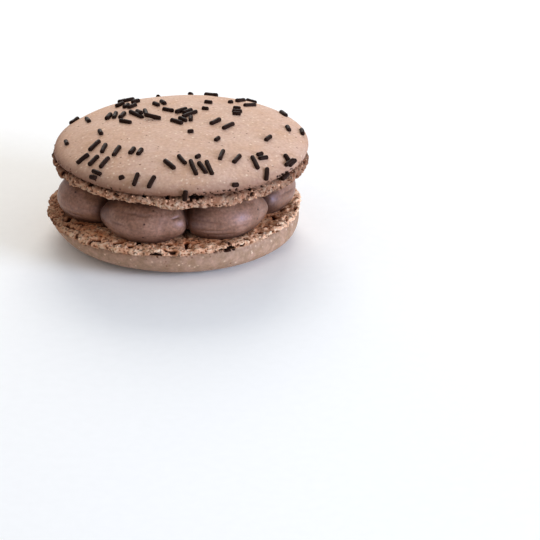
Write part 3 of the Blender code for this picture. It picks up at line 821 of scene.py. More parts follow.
def baked_crust(name, shell, half, skin, skin_warm, crumb):
    """Baked almond meringue.

    The piped batter grew a skin before it was baked, so the dome is matt and smooth, with ground almonds
    pale and cocoa dark in it. The foot tore open as the batter rose into tan lumps round pores, and is
    caramel brown where the filling's side took the heat. The colours also hold painted shade and light:
    the torn sponge darkens the lower a point lies and is palest on the tips, holes, pits and the pores
    in the skin's edge are painted near black, and the band along the skin's edge is darker, partly
    browning and partly painted shade. Real specks and dots are too fine to show at this size, so they
    are drawn several times as wide.
    """
    material, tree, shader, where = blank_material(name)
    rough, height, edge, inner, hot = (
        add_node(tree, "ShaderNodeAttribute", attribute_name=kept).outputs["Fac"]
        for kept in ("rough", "height", "edge", "inner", "hot")
    )
    patches, mottle, browning, mealy, grain, pitting = (
        add_node(tree, "ShaderNodeTexNoise", {"Vector": where, "Scale": 1.0 / size, "Detail": detail})
        for size, detail in (
            (11.0 * MM, 3.0),
            (2.4 * MM, 3.0),
            (4.5 * MM, 3.0),
            (0.8 * MM, 2.0),
            (0.45 * MM, 4.0),
            (shell.pit, 2.0),
        )
    )
    patchy, mottled, holes, edge_shade, lip_shade, warmed, height_share, pits, browned = (
        add_node(
            tree, "ShaderNodeMapRange", {"Value": value, "From Min": low, "From Max": high, "To Max": most}
        )
        for value, low, high, most in (
            (patches, 0.35, 0.7, 1.0),
            (mottle, 0.4, 0.65, 0.35),
            (height, -0.05, -0.25, 1.0),
            (edge, 0.0, 1.0, half.edge_brown),
            (edge, 0.35, 0.95, half.lip_brown),
            (inner, 0.0, 1.0, half.caramel),
            (height, -0.8, 0.12, 1.0),
            (pitting, 0.46, 0.37, 0.7),
            (hot, 0.0, 1.0, 1.0),
        )
    )
    # Almond specks and cocoa dots: their spacing, their radius and how many there are as shares, and
    # how plain they are
    dots = []
    for spacing, radius, share, strength in (
        (shell.speck, 0.26, 0.7, half.speckle),
        (shell.cocoa, 0.2, 0.5, 1.15),
    ):
        cells = add_node(tree, "ShaderNodeTexVoronoi", {"Vector": where, "Scale": 1.0 / spacing})
        draw = add_node(tree, "ShaderNodeSeparateColor", {"Color": cells.outputs["Color"]})
        ends = {"From Min": 1.0 - share, "To Max": strength}
        chosen = add_node(tree, "ShaderNodeMapRange", {"Value": draw, **ends})
        ends = {"From Min": radius, "From Max": 0.55 * radius, "To Max": chosen}
        dots.append(add_node(tree, "ShaderNodeMapRange", {"Value": cells, **ends}))
    # Painted shade and light: the torn sponge darkens towards hollow_shade the lower a point lies, and is
    # palest on the tips
    ramp = add_node(tree, "ShaderNodeValToRGB", {"Fac": height_share})
    stops = ((0.0, shell.hollow_shade), (0.42, shell.toasted), (0.74, shell.crumb_tan), (1.0, shell.crumb_pale))
    while len(ramp.color_ramp.elements) < len(stops):
        ramp.color_ramp.elements.new(0.5)
    for element, (position, rgb) in zip(ramp.color_ramp.elements, stops):
        element.position = position
        element.color = opaque(rgb)
    ends = {"From Min": 0.4, "From Max": 0.66, "To Min": warmed, "To Max": 0.4}
    caramel = add_node(tree, "ShaderNodeMapRange", {"Value": browning, **ends})

    colours = {"dome": opaque(skin), "foot": ramp}
    for part, mode, share, tint in (
        ("dome", "MIX", patchy, opaque(skin_warm)),
        ("dome", "MIX", mottled, opaque(shell.rosy)),
        ("dome", "OVERLAY", 0.35, mealy),
        ("dome", "OVERLAY", 0.15, mottle),
        ("dome", "MIX", dots[0], opaque(shell.almond)),
        ("dome", "MIX", dots[1], opaque(shell.cocoa_dot)),
        # painted shade, partly browning: the skin's edge is darkened where the dome turns down
        ("dome", "MULTIPLY", edge_shade, opaque(shell.rim_brown_and_shade)),
        # painted shade in the pores along the skin's edge
        ("dome", "MIX", holes, opaque(shell.hollow_shade)),
        ("foot", "MULTIPLY", 1.0, opaque(crumb)),
        ("foot", "MULTIPLY", caramel, opaque(shell.caramel)),
        # painted shade, partly browning: the foot right under the lip is darkened
        ("foot", "MULTIPLY", lip_shade, opaque(shell.lip_brown)),
        ("foot", "MULTIPLY", browned, opaque(shell.browned)),
        # painted shade: dark pits drawn between the lumps
        ("foot", "MIX", pits, opaque(shell.hollow_shade)),
        ("foot", "OVERLAY", 0.26, grain),
    ):
        given = {0: share, 6: colours[part], 7: tint}
        colours[part] = add_node(tree, "ShaderNodeMix", given, data_type="RGBA", blend_type=mode)
    given = {0: rough, 6: colours["dome"], 7: colours["foot"]}
    body = add_node(tree, "ShaderNodeMix", given, data_type="RGBA")
    matt, coarse = (
        add_node(tree, "ShaderNodeMapRange", {"Value": rough, "To Min": low, "To Max": high})
        for low, high in ((0.62, 0.88), (0.35, 1.0))
    )
    bump = add_node(tree, "ShaderNodeBump", {"Height": grain, "Distance": 0.06 * MM, "Strength": coarse})
    finish = {
        "Base Color": body,
        "Roughness": matt,
        "Normal": bump,
        "IOR": 1.45,
        "Specular IOR Level": 0.15,
        "Subsurface Weight": 0.06,
        "Subsurface Radius": (1.0, 0.6, 0.4),
        "Subsurface Scale": 1.0 * MM,
    }
    feed(tree, shader, finish)
    return material


def loose_crumb(shell):
    """Baked almond meringue, broken.

    Crumbs broke off the torn foot, so they have none of the dome's skin: dry, matt and grainy, some
    toasted and some tan like the sponge inside.
    """
    material, tree, shader, where = blank_material("broken almond meringue")
    tone = add_node(tree, "ShaderNodeAttribute", attribute_name="tone").outputs["Fac"]
    grain = add_node(tree, "ShaderNodeTexNoise", {"Vector": where, "Scale": 1.0 / (0.4 * MM)})
    colours = opaque(shell.toasted)
    for mode, share, tint in (("MIX", tone, opaque(shell.crumb_tan)), ("OVERLAY", 0.5, grain)):
        given = {0: share, 6: colours, 7: tint}
        colours = add_node(tree, "ShaderNodeMix", given, data_type="RGBA", blend_type=mode)
    bump = add_node(tree, "ShaderNodeBump", {"Height": grain, "Distance": 0.08 * MM})
    feed(tree, shader, {"Base Color": colours, "Roughness": 0.85, "Normal": bump})
    return material


def piped_ganache(filling):
    """Whipped chocolate ganache.

    It was pressed through a round nozzle: dense and satin, with a soft broad shine, faint streaks along
    the way that it was dragged, and a few pin holes where air came out. Real pin holes are too fine to
    show at this size, so they are drawn about three times as wide. The pin holes, the folds, the seams
    between dollops, the paste under the lid and over the lower shell, and each dollop's left flank away
    from the window are darkened with painted shade.
    """
    material, tree, shader, where = blank_material("piped chocolate ganache")
    drag = add_node(tree, "ShaderNodeAttribute", attribute_name="drag").outputs["Vector"]
    painted_shade = add_node(tree, "ShaderNodeAttribute", attribute_name="painted_shade").outputs["Fac"]
    streak, cloud, grain = (
        add_node(tree, "ShaderNodeTexNoise", {"Vector": place, "Scale": scale, "Detail": 3.0})
        for place, scale in ((drag, 1.0), (where, 1.0 / (3.5 * MM)), (where, 1.0 / (0.7 * MM)))
    )
    # deep is the painted shade of folds, seams, corners and left flanks
    streaked, deep, clouded, sheen = (
        add_node(tree, "ShaderNodeMapRange", {"Value": value, "From Min": low, "From Max": high, **ends})
        for value, low, high, ends in (
            (streak, 0.36, 0.64, {"To Max": 0.55}),
            (painted_shade, 0.05, 0.95, {"To Max": 0.85}),
            (cloud, 0.38, 0.62, {"To Max": 0.8}),
            (grain, 0.3, 0.7, {"To Min": 0.36, "To Max": 0.52}),
        )
    )
    # Painted shade: pin holes are dark dots drawn in colour
    cells = add_node(tree, "ShaderNodeTexVoronoi", {"Vector": where, "Scale": 1.0 / filling.pin_hole})
    draw = add_node(tree, "ShaderNodeSeparateColor", {"Color": cells.outputs["Color"]})
    chosen = add_node(tree, "ShaderNodeMapRange", {"Value": draw, "From Min": 0.55, "From Max": 0.6})
    ends = {"From Min": 0.15, "From Max": 0.08, "To Max": chosen}
    pin = add_node(tree, "ShaderNodeMapRange", {"Value": cells, **ends})
    colours = opaque(filling.ganache)
    for mode, share, tint in (
        ("MIX", streaked, opaque(filling.ganache_light)),
        ("MIX", clouded, opaque(filling.ganache_dark)),
        ("MIX", deep, opaque(filling.pin_shade)),
        ("MIX", pin, opaque(filling.pin_shade)),
        ("OVERLAY", 0.7, grain),
    ):
        given = {0: share, 6: colours, 7: tint}
        colours = add_node(tree, "ShaderNodeMix", given, data_type="RGBA", blend_type=mode)
    bump = add_node(tree, "ShaderNodeBump", {"Height": streak, "Distance": 0.1 * MM, "Strength": 0.5})
    finish = {
        "Base Color": colours,
        "Roughness": sheen,
        "Normal": bump,
        "Specular Tint": opaque(filling.fat_shine),
        "IOR": 1.46,
        "Subsurface Weight": 0.08,
        "Subsurface Radius": (1.0, 0.5, 0.35),
        "Subsurface Scale": 0.8 * MM,
    }
    feed(tree, shader, finish)
    return material


def chocolate_vermicelli(sprinkles):
    """Extruded dark chocolate.

    It was pressed through small holes, cut to length and tumbled, which rubbed the gloss off: near
    black, with a dull shine, and a shade paler in patches where it bloomed.
    """
    material, tree, shader, where = blank_material("extruded dark chocolate")
    cloud, grain = (
        add_node(tree, "ShaderNodeTexNoise", {"Vector": where, "Scale": 1.0 / size, "Detail": 3.0})
        for size in (1.6 * MM, 0.5 * MM)
    )
    bloom, rubbed = (
        add_node(tree, "ShaderNodeMapRange", {"Value": cloud, "From Min": 0.45, "From Max": 0.75, **ends})
        for ends in ({}, {"To Min": 0.5, "To Max": 0.66})
    )
    given = {0: bloom, 6: opaque(sprinkles.chocolate), 7: opaque(sprinkles.chocolate_pale)}
    body = add_node(tree, "ShaderNodeMix", given, data_type="RGBA")
    bump = add_node(tree, "ShaderNodeBump", {"Height": grain, "Distance": 0.05 * MM})
    feed(tree, shader, {"Base Color": body, "Roughness": rubbed, "Normal": bump, "Specular IOR Level": 0.06})
    return material


def white_card(stage):
    """Matt white card, pressed from pulp: plain and even, with fibres that hardly show.

    Real fibres are too fine to show at this size, so they are drawn coarser.
    """
    material, tree, shader, where = blank_material("matt white card")
    fibre = add_node(tree, "ShaderNodeTexNoise", {"Vector": where, "Scale": 1.0 / (3.0 * MM)})
    given = {0: fibre, 6: opaque(stage.table), 7: opaque(stage.table_fibre)}
    body = add_node(tree, "ShaderNodeMix", given, data_type="RGBA")
    feed(tree, shader, {"Base Color": body, "Roughness": 0.9})
    return material


class MACARON_OT_top_shell(bpy.types.Operator):
    """Bakes the lid: a smooth dome over a torn foot"""

    bl_idname = "macaron.top_shell"
    bl_label = "Add Top Shell"

    def execute(self, context):
        shell = context.scene.macaron_shell
        foot = curve_through(lid_foot(), FOOT_ROW)
        profile = lid_dome(DOME_ROWS) + foot + flat_rows(LID_UNDERSIDE, foot[-1][0])
        lid = turned("baked_lid", profile, COLUMNS)
        shell_mesh(lid, bake_lid, LID, shell)
        # Painted shade: the lid's foot is multiplied darker than the lower shell's torn face
        colours = (shell.crust, shell.crust_warm, shell.lid_foot_shade)
        crust = baked_crust("baked almond meringue", shell, LID, *colours)
        settle(lid, crust, ["top_shell"])
        return {"FINISHED"}


class MACARON_OT_bottom_shell(bpy.types.Operator):
    """Bakes the lower shell, which lies on its dome with its torn face up"""

    bl_idname = "macaron.bottom_shell"
    bl_label = "Add Bottom Shell"

    def execute(self, context):
        shell = context.scene.macaron_shell
        foot = curve_through(base_foot(), FOOT_ROW)
        face = list(reversed(flat_rows(BASE_TOP, foot[0][0])))
        profile = face + foot + base_dome(DOME_ROWS // 2) + [(0.0, 0.0)]
        base = turned("baked_base", profile, COLUMNS)
        shell_mesh(base, bake_base, BASE, shell)
        # Painted shade and light: darker copies of the dome colours, and a torn face kept lighter than the
        # lid's foot
        colours = (shell.shaded_lower_crust, shell.shaded_lower_warm, shell.base_face_light)
        crust = baked_crust("baked almond meringue, lower", shell, BASE, *colours)
        settle(base, crust, ["bottom_shell"])
        return {"FINISHED"}


def dollop_centres():
    """Each dollop's centre, its azimuth and its radius."""
    for azimuth, radius in zip(DOLLOP_AZIMUTHS, DOLLOP_RADII):
        centre = towards(azimuth) * DOLLOP_RING + Vector((DOLLOP_SHIFT, 0.0, DOLLOP_HEIGHT))
        yield centre, azimuth, radius


def on_dollop(point, centres):
    """Which dollop a point is on, its angle round it from the outermost line, and its height on it."""
    index = min(range(len(centres)), key=lambda i: (point - centres[i][0]).xy.length)
    centre, azimuth, _ = centres[index]
    away = point - centre
    turn = (azimuth_of(away) - azimuth + 180.0) % 360.0 - 180.0
    return index, turn, away.z


def drag_place(point, index, turn, height, width):
    """Where a point lies along and across the drag lines of its dollop."""
    swept = math.radians(turn) * DOLLOP_RADII[index]
    across = height + DRAG_CLIMB * swept + DRAG_WAVER * bumps(point, DRAG_WAVER_SIZE, 11.0)
    return Vector((swept / (DRAG_LENGTH * width), across / width, DRAG_APART * index))


def fold_share(point, index, turn, height):
    """1 at the bottom of a fold, 0 away from all of them."""
    deepest = 0.0
    level = height + FOLD_WAVER * bumps(point, UNEVEN_SIZE, 16.0)
    for fold in FOLDS:
        if fold.dollop == index % 3:
            across = fade(abs(level - fold.height * MM), 0.0, 2.0 * FOLD_HALF_WIDTH)
            deepest = max(deepest, across * lobe(turn, fold.turn, fold.reach))
    return deepest


def seam_gap(point, index, centres):
    """How far a point of one dollop is from the nearest of the others."""
    gaps = []
    for other, (centre, _, radius) in enumerate(centres):
        if other != index:
            away = point - centre
            away.z *= radius / DOLLOP_HALF_HEIGHT
            gaps.append(away.length - radius)
    return min(gaps)


def corner_shade(point, gap):
    """How much painted shade a point gets: 1 in the corners between two dollops or at a shell, 0 in the open.
    """
    at_seam = fade(gap, 0.0, SEAM_SHADE)
    at_lid = fade(LID_UNDERSIDE - point.z, 0.0, LID_SHADE)
    at_base = fade(point.z - BASE_TOP, 0.0, BASE_SHADE)
    return max(at_seam, at_lid, at_base)


class MACARON_OT_filling(bpy.types.Operator):
    """Pipes the ring of dollops between the shells"""

    bl_idname = "macaron.filling"
    bl_label = "Add Filling"

    def execute(self, context):
        filling = context.scene.macaron_filling
        low = BASE_TOP - FILLING_REACH
        high = LID_UNDERSIDE + FILLING_REACH
        bm = bmesh.new()
        for centre, _, radius in dollop_centres():
            squash = Matrix.Diagonal((1.0, 1.0, DOLLOP_HALF_HEIGHT / radius, 1.0))
            bmesh.ops.create_uvsphere(
                bm,
                u_segments=DOLLOP_SEGMENTS,
                v_segments=DOLLOP_RINGS,
                radius=radius,
                matrix=Matrix.Translation(centre) @ squash,
            )
        bmesh.ops.create_cone(
            bm,
            cap_ends=True,
            segments=CORE_SEGMENTS,
            radius1=CORE_RADIUS,
            radius2=CORE_RADIUS,
            depth=LID_UNDERSIDE - BASE_TOP - 2.0 * CORE_INSET,
            matrix=Matrix.Translation((DOLLOP_SHIFT, 0.0, 0.5 * (LID_UNDERSIDE + BASE_TOP))),
        )
        mesh = bpy.data.meshes.new("piped_filling")
        bm.to_mesh(mesh)
        bm.free()
        obj = add_object(mesh.name, mesh)
        remesh = obj.modifiers.new("one skin", "REMESH")
        remesh.mode = "VOXEL"
        remesh.voxel_size = FILLING_VOXEL
        relax = obj.modifiers.new("relax", "SMOOTH")
        relax.factor = FILLING_RELAX
        relax.iterations = FILLING_RELAXED
        apply_modifiers(obj)
        normals = [Vector(item.vector) for item in obj.data.vertex_normals]
        centres = list(dollop_centres())
        places = []
        painted_shades = []
        for vert, normal in zip(obj.data.vertices, normals):
            index, turn, height = on_dollop(vert.co, centres)
            place = drag_place(vert.co, index, turn, height, filling.drag_width)
            fold = fold_share(vert.co, index, turn, height)
            line = noise.noise(place) + DRAG_FINER_SHARE * noise.noise(DRAG_FINER * place)
            swell = bumps(vert.co, UNEVEN_SIZE, 17.0)
            gap = seam_gap(vert.co, index, centres)
            corner = corner_shade(vert.co, gap)
            opened = fade(gap, 0.0, SEAM_WIDTH) * smooth(abs(height), SEAM_CLOSED, SEAM_OPEN)
            pressed = fade(gap, SEAM_PRESSED, SEAM_FREE) * fade(abs(height), 0.0, SEAM_BELLY)
            rise = filling.drag * line + filling.uneven * swell - filling.fold * fold - SEAM_SINK * opened
            bulging = outward_at(vert.co).lerp(normal, smooth(gap, 0.0, SEAM_PRESSED))
            vert.co += normal * rise
            vert.co += bulging * SEAM_SWELL * pressed
            vert.co.z = min(high, max(low, vert.co.z))
            places.extend(place)
            # Painted shade: folds, the corners at the seams and shells, and each dollop's left flank away
            # from the window light
            flank = FLANK_SHADE * smooth(-turn, FLANK_FROM, FLANK_TO)
            painted_shades.append(max(FOLD_SHADE * fold, corner, flank))
        obj.data.attributes.new("drag", "FLOAT_VECTOR", "POINT").data.foreach_set("vector", places)
        obj.data.attributes.new("painted_shade", "FLOAT", "POINT").data.foreach_set("value", painted_shades)
        obj.data.shade_smooth()
        settle(obj, piped_ganache(filling), ["filling"])
        return {"FINISHED"}


def start_tree(name, inputs):
    """A new geometry node tree, and the sockets of its mesh, its named inputs and its material."""
    tree = bpy.data.node_groups.new(name, "GeometryNodeTree")
    for label, kind in {"Geometry": "Geometry", **inputs, "Material": "Material"}.items():
        tree.interface.new_socket(label, in_out="INPUT", socket_type=f"NodeSocket{kind}")
    tree.interface.new_socket("Geometry", in_out="OUTPUT", socket_type="NodeSocketGeometry")
    return tree, add_node(tree, "NodeGroupInput").outputs


def end_tree(tree, shape, material):
    """Ends a tree with its shape as one plain mesh, shaded smooth, in its material."""
    soft = add_node(tree, "GeometryNodeSetShadeSmooth", {"Geometry": shape})
    real = add_node(tree, "GeometryNodeRealizeInstances", {"Geometry": soft})
    clad = add_node(tree, "GeometryNodeSetMaterial", {"Geometry": real, "Material": material})
    add_node(tree, "NodeGroupOutput", {"Geometry": clad})
    return tree


def run_tree(obj, tree, values):
    """Replaces an object's mesh by what the tree makes of it, its inputs set by their identifiers."""
    modifier = obj.modifiers.new(tree.name, "NODES")
    modifier.node_group = tree
    for item in tree.interface.items_tree:
        if item.in_out == "INPUT" and item.name in values:
            modifier[item.identifier] = values[item.name]
    return apply_modifiers(obj)


def crumb_tree():
    """Scatters lumpy crumbs over the rough part of a mesh."""
    kinds = {"Density": "Float", "Smallest": "Float", "Largest": "Float", "Seed": "Int"}
    tree, given = start_tree("scatter crumbs", kinds)
    scatter = add_node(tree, "GeometryNodeInputNamedAttribute", {"Name": "scatter"}, data_type="FLOAT")
    density = add_node(tree, "ShaderNodeMath", {0: given["Density"], 1: scatter}, operation="MULTIPLY")
    points = add_node(
        tree,
        "GeometryNodeDistributePointsOnFaces",
        {"Mesh": given["Geometry"], "Density": density, "Seed": given["Seed"]},
    )
    ball = add_node(tree, "GeometryNodeMeshIcoSphere", {"Radius": 1.0, "Subdivisions": 1})
    size, tone = (
        add_node(tree, "FunctionNodeRandomValue", {2: least, 3: most, "Seed": seed}, data_type="FLOAT")
        for least, most, seed in ((given["Smallest"], given["Largest"], given["Seed"]), (*CRUMB_TONES, 3))
    )
    stretch, turn = (
        add_node(tree, "FunctionNodeRandomValue", {0: least, 1: most, "Seed": seed}, data_type="FLOAT_VECTOR")
        for least, most, seed in ((CRUMB_FLATTEST, CRUMB_LONGEST, 7), ((0.0, 0.0, 0.0), CRUMB_TURN, 9))
    )
    scale = add_node(tree, "ShaderNodeVectorMath", {0: stretch, "Scale": size}, operation="SCALE")
    placed = add_node(
        tree,
        "GeometryNodeInstanceOnPoints",
        {"Points": points, "Instance": ball, "Rotation": turn, "Scale": scale},
    )
    toned = add_node(
        tree,
        "GeometryNodeStoreNamedAttribute",
        {"Geometry": placed, "Name": "tone", "Value": tone},
        data_type="FLOAT",
        domain="INSTANCE",
    )
    real = add_node(tree, "GeometryNodeRealizeInstances", {"Geometry": toned})
    lumps = add_node(tree, "ShaderNodeTexNoise", {"Scale": 1.0 / CRUMB_DENT_SIZE, "Detail": 2.0})
    ends = {0: lumps.outputs["Color"], 1: (0.5, 0.5, 0.5)}
    centred = add_node(tree, "ShaderNodeVectorMath", ends, operation="SUBTRACT")
    offset = add_node(tree, "ShaderNodeVectorMath", {0: centred, "Scale": CRUMB_DENT}, operation="SCALE")
    moved = add_node(tree, "GeometryNodeSetPosition", {"Geometry": real, "Offset": offset})
    return end_tree(tree, moved, given["Material"])


def scatter_share(point, half):
    """How thickly loose crumbs lie: on the foot's side, fewer on the outer face, none in open slots."""
    radius = math.hypot(point.x, point.y)
    past = half.up * (point.z - half.border)
    if slot_depth(azimuth_of(point), past, half.slots) > CRUMB_CLEAR:
        return 0.0
    on_face = CRUMB_FACE_SHARE * smooth(radius, *CRUMB_FACE)
    on_side = CRUMB_SIDE_SHARE * smooth(radius, *CRUMB_SIDE)
    return smooth(past, *CRUMB_OFF_LIP) * (on_face + on_side)


class MACARON_OT_crumbs(bpy.types.Operator):
    """Scatters broken crumbs over the feet of both shells"""

    bl_idname = "macaron.crumbs"
    bl_label = "Add Crumbs"

    def execute(self, context):
        crumbs = context.scene.macaron_crumbs
        tree = crumb_tree()
        material = loose_crumb(context.scene.macaron_shell)
        feet = (("lid_crumbs", "baked_lid", LID), ("base_crumbs", "baked_base", BASE))
        for number, (name, shell_name, half) in enumerate(feet):
            mesh = bpy.data.objects[shell_name].data.copy()
            shares = [scatter_share(vert.co - half.shift, half) for vert in mesh.vertices]
            mesh.attributes.new("scatter", "FLOAT", "POINT").data.foreach_set("value", shares)
            obj = add_object(name, mesh)
            values = {
                "Density": crumbs.density,
                "Smallest": crumbs.smallest,
                "Largest": crumbs.largest,
                "Seed": crumbs.seed + number,
                "Material": material,
            }
            run_tree(obj, tree, values)
            settle(obj, material)
        return {"FINISHED"}


def rod_gap(start, end, other):
    """The least distance between two sprinkles' axes, and where on the first one it is, -1 to 1."""
    closest = (math.inf, 0.0)
    for step in range(-ROD_SAMPLES, ROD_SAMPLES + 1):
        point = start.lerp(end, 0.5 + 0.5 * step / ROD_SAMPLES)
        foot, share = geometry.intersect_point_line(point, other[0], other[1])
        if share < 0.0:
            foot = other[0]
        if share > 1.0:
            foot = other[1]
        closest = min(closest, ((point - foot).length, step / ROD_SAMPLES))
    return closest


def lie(skin, spot, heading, length, placed):
    """Lays a sprinkle on the skin, or with one end up on the sprinkles already there."""
    place, normal, _, _ = skin.ray_cast(Vector((spot.x, spot.y, 1.0)), Vector((0.0, 0.0, -1.0)))
    along = Vector((math.cos(heading), math.sin(heading), 0.0))
    along = (along - normal * along.dot(normal)).normalized()
    centre = place + normal * (0.5 * ROD_THICK - ROD_SINK)
    half = along * 0.5 * length
    lift = 0.0
    at = 0.0
    for other in placed:
        gap, where = rod_gap(centre - half, centre + half, other)
        if ROD_THICK - gap > lift:
            lift = ROD_THICK - gap
            at = where
    if lift > ROD_TOUCHES * ROD_THICK:
        lift = min(lift, ROD_STACKS * ROD_THICK)
        slope = lift / (0.5 * length * (abs(at) + 1.0))
        centre = centre + normal * slope * 0.5 * length
        half = (along + normal * math.copysign(slope, at)).normalized() * 0.5 * length
    return (centre - half, centre + half), lift


def lay_sprinkles(skin):
    """The two ends of each sprinkle's axis, in the lid's own frame."""
    placed = []
    for number, drift in enumerate(DRIFTS):
        draws = random.Random(SEED * 1000 + number)
        across = towards(drift.heading)  # an azimuth is a quarter turn behind a heading
        for index in range(drift.count):
            middle = Vector((drift.x, drift.y, 0.0)) * MM
            middle += across * (index - 0.5 * (drift.count - 1)) * drift.pitch * MM
            best = None
            for _ in range(ROD_TRIES):
                spot = middle + Vector((draws.gauss(0.0, ROD_JITTER), draws.gauss(0.0, ROD_JITTER), 0.0))
                if spot.length > ROD_OUTERMOST:
                    spot *= ROD_OUTERMOST / spot.length
                heading = math.radians(drift.heading + draws.gauss(0.0, ROD_FAN))
                length = max(ROD_SHORTEST, drift.length * MM * (1.0 + draws.gauss(0.0, ROD_SPREAD)))
                ends, lift = lie(skin, spot, heading, length, placed)
                if best is None or lift < best[1]:
                    best = (ends, lift)
                if lift == 0.0:
                    break
            placed.append(best[0])
    for stray in STRAYS:
        outward = towards(stray.azimuth)
        sideways = Vector((-outward.y, outward.x, 0.0))
        level = Vector((0.0, 0.0, LID_UNDERSIDE + stray.height * MM))
        place = skin.ray_cast(outward + level, -outward)[0]
        lean = math.radians(stray.lean)
        half = (Vector((0.0, 0.0, math.cos(lean))) + sideways * math.sin(lean)) * 0.5 * stray.length * MM
        centre = place + outward * (0.5 * ROD_THICK - ROD_SINK)
        placed.append((centre - half, centre + half))
    return placed


def coarse_skin():
    """The lid as its solid has it, which the sprinkles were laid on."""
    flat = [(radius, LID_UNDERSIDE) for radius in LID_FACE_RINGS]
    obj = turned("coarse_lid", lid_dome(LID_RINGS) + lid_foot() + flat, COARSE_STEPS)
    bm = bmesh.new()
    bm.from_mesh(obj.data)
    bpy.data.objects.remove(obj)
    for vert in bm.verts:
        vert.co = bake_lid(vert.co.copy())
    skin = BVHTree.FromBMesh(bm)
    bm.free()
    return skin


def rod_tree():
    """Sweeps a round section along each line, as thick as the line's points say."""
    tree, given = start_tree("extrude sprinkles", {"Sides": "Int"})
    lines = add_node(tree, "GeometryNodeMeshToCurve", {"Mesh": given["Geometry"]})
    thick = add_node(tree, "GeometryNodeInputNamedAttribute", {"Name": "thick"}, data_type="FLOAT")
    circle = {"Resolution": given["Sides"], "Radius": 1.0}
    section = add_node(tree, "GeometryNodeCurvePrimitiveCircle", circle)
    sweep = {"Curve": lines, "Profile Curve": section, "Scale": thick, "Fill Caps": True}
    swept = add_node(tree, "GeometryNodeCurveToMesh", sweep)
    return end_tree(tree, swept, given["Material"])


def sprinkle_line(ends, sprinkles, draws):
    """The points of one sprinkle's axis and its radius at each, with rounded ends and a slight bend."""
    start, end = ends
    reach = (end - start).length
    side = (end - start).orthogonal().normalized()
    side.rotate(Matrix.Rotation(draws.uniform(0.0, math.tau), 3, end - start))
    radius = 0.5 * ROD_THICK * draws.uniform(*ROD_THICKNESS)
    corner = min(sprinkles.round_end, ROD_END_MOST * reach)
    places = [corner * (1.0 - math.cos(math.radians(angle))) for angle in ROD_END_ANGLES]
    widths = [radius - corner * (1.0 - math.sin(math.radians(angle))) for angle in ROD_END_ANGLES]
    middle = [corner + (reach - 2.0 * corner) * step / ROD_STATIONS for step in range(1, ROD_STATIONS)]
    stations = places + middle + [reach - place for place in reversed(places)]
    radii = widths + [radius * draws.uniform(*ROD_WAVES) for _ in middle] + widths[::-1]
    points = []
    for station in stations:
        share = station / reach
        bow = sprinkles.bend * 4.0 * share * (1.0 - share)
        points.append(start.lerp(end, share) + side * bow)
    return points, radii


class MACARON_OT_sprinkles(bpy.types.Operator):
    """Lays the chocolate sprinkles on the lid"""

    bl_idname = "macaron.sprinkles"
    bl_label = "Add Sprinkles"

    def execute(self, context):
        sprinkles = context.scene.macaron_sprinkles
        draws = random.Random(SEED)
        points = []
        radii = []
        edges = []
        for ends in lay_sprinkles(coarse_skin()):
            line, widths = sprinkle_line(ends, sprinkles, draws)
            edges += [(len(points) + i, len(points) + i + 1) for i in range(len(line) - 1)]
            points += [point + LID_SHIFT for point in line]
            radii += widths
        mesh = bpy.data.meshes.new("chocolate_sprinkles")
        mesh.from_pydata(points, edges, [])
        thick = mesh.attributes.new("thick", "FLOAT", "POINT")
        thick.data.foreach_set("value", radii)
        obj = add_object(mesh.name, mesh)
        material = chocolate_vermicelli(sprinkles)
        run_tree(obj, rod_tree(), {"Sides": sprinkles.sides, "Material": material})
        settle(obj, material, ["top_shell"])
        return {"FINISHED"}


def softbox(name, place, width, power, rgb):
    """A square lamp at LAMP_AWAY from the macaron, turned to face it."""
    lamp = bpy.data.lights.new(name, "AREA")
    lamp.size = width
    lamp.energy = power
    lamp.color = rgb
    turn, rise = (math.radians(angle) for angle in place)
    away = Vector((math.sin(turn) * math.cos(rise), -math.cos(turn) * math.cos(rise), math.sin(rise)))
    obj = add_object(name, lamp)
    obj.location = away * LAMP_AWAY + Vector((0.0, 0.0, LAMP_AIM))
    obj.rotation_euler = away.to_track_quat("Z", "Y").to_euler()
    obj.visible_camera = False


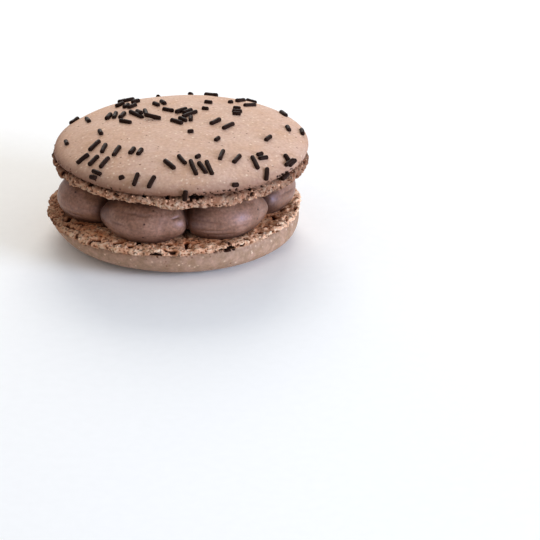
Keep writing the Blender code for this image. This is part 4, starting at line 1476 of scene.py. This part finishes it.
class MACARON_OT_stage(bpy.types.Operator):
    """Sets the table, the soft light and the camera"""

    bl_idname = "macaron.stage"
    bl_label = "Set Stage"

    def execute(self, context):
        scene = context.scene
        stage = scene.macaron_stage
        bpy.ops.mesh.primitive_plane_add(size=FLOOR_WIDE)
        table = context.object
        table.name = "table"
        table.data.materials.append(white_card(stage))

        softbox("back_lamp", LAMP_AT, LAMP_WIDE, stage.back_lamp, srgb("#fffdf8"))
        softbox("window", WINDOW_AT, WINDOW_WIDE, stage.window, srgb("#cbe0ff"))
        world = bpy.data.worlds.new("studio")
        world.use_nodes = True
        room = world.node_tree.nodes["Background"]
        feed(world.node_tree, room, {"Color": opaque(srgb("#ffffff")), "Strength": stage.sky})
        scene.world = world
        scene.view_settings.view_transform = "Standard"

        lens = bpy.data.cameras.new("camera")
        lens.lens = stage.focal
        lens.sensor_width = SENSOR_WIDE
        camera = add_object("camera", lens)
        back = Vector((0.0, -math.cos(stage.elevation), math.sin(stage.elevation)))
        up = Vector((0.0, math.sin(stage.elevation), math.cos(stage.elevation)))
        camera.location = back * stage.distance
        aim = Vector((stage.aim_right, 0.0, 0.0)) - up * stage.aim_down
        camera.rotation_euler = (aim - camera.location).to_track_quat("-Z", "Y").to_euler()
        scene.camera = camera
        return {"FINISHED"}


class MACARON_PT_panel(bpy.types.Panel):
    """Lists the macaron's pieces and their settings"""

    bl_label = "Chocolate Macaron"
    bl_idname = "MACARON_PT_panel"
    bl_space_type = "VIEW_3D"
    bl_region_type = "UI"
    bl_category = "Macaron"

    def draw(self, context):
        for name, (_, *operators) in GROUPS.items():
            box = self.layout.box()
            for operator in operators:
                box.operator(operator.bl_idname)
            settings = getattr(context.scene, name)
            for prop in settings.bl_rna.properties:
                if prop.identifier not in ("rna_type", "name"):
                    box.prop(settings, prop.identifier)


GROUPS = {
    "macaron_shell": (MacaronShell, MACARON_OT_top_shell, MACARON_OT_bottom_shell),
    "macaron_filling": (MacaronFilling, MACARON_OT_filling),
    "macaron_crumbs": (MacaronCrumbs, MACARON_OT_crumbs),
    "macaron_sprinkles": (MacaronSprinkles, MACARON_OT_sprinkles),
    "macaron_stage": (MacaronStage, MACARON_OT_stage),
}


def register():
    for name, kinds in GROUPS.items():
        for kind in kinds:
            bpy.utils.register_class(kind)
        setattr(bpy.types.Scene, name, PointerProperty(type=kinds[0]))
    bpy.utils.register_class(MACARON_PT_panel)


def unregister():
    bpy.utils.unregister_class(MACARON_PT_panel)
    for name, kinds in GROUPS.items():
        delattr(bpy.types.Scene, name)
        for kind in kinds:
            bpy.utils.unregister_class(kind)


def main():
    register()
    bpy.ops.macaron.stage()
    bpy.ops.macaron.top_shell()
    bpy.ops.macaron.bottom_shell()
    bpy.ops.macaron.filling()
    bpy.ops.macaron.crumbs()
    bpy.ops.macaron.sprinkles()


if __name__ == "__main__":
    main()
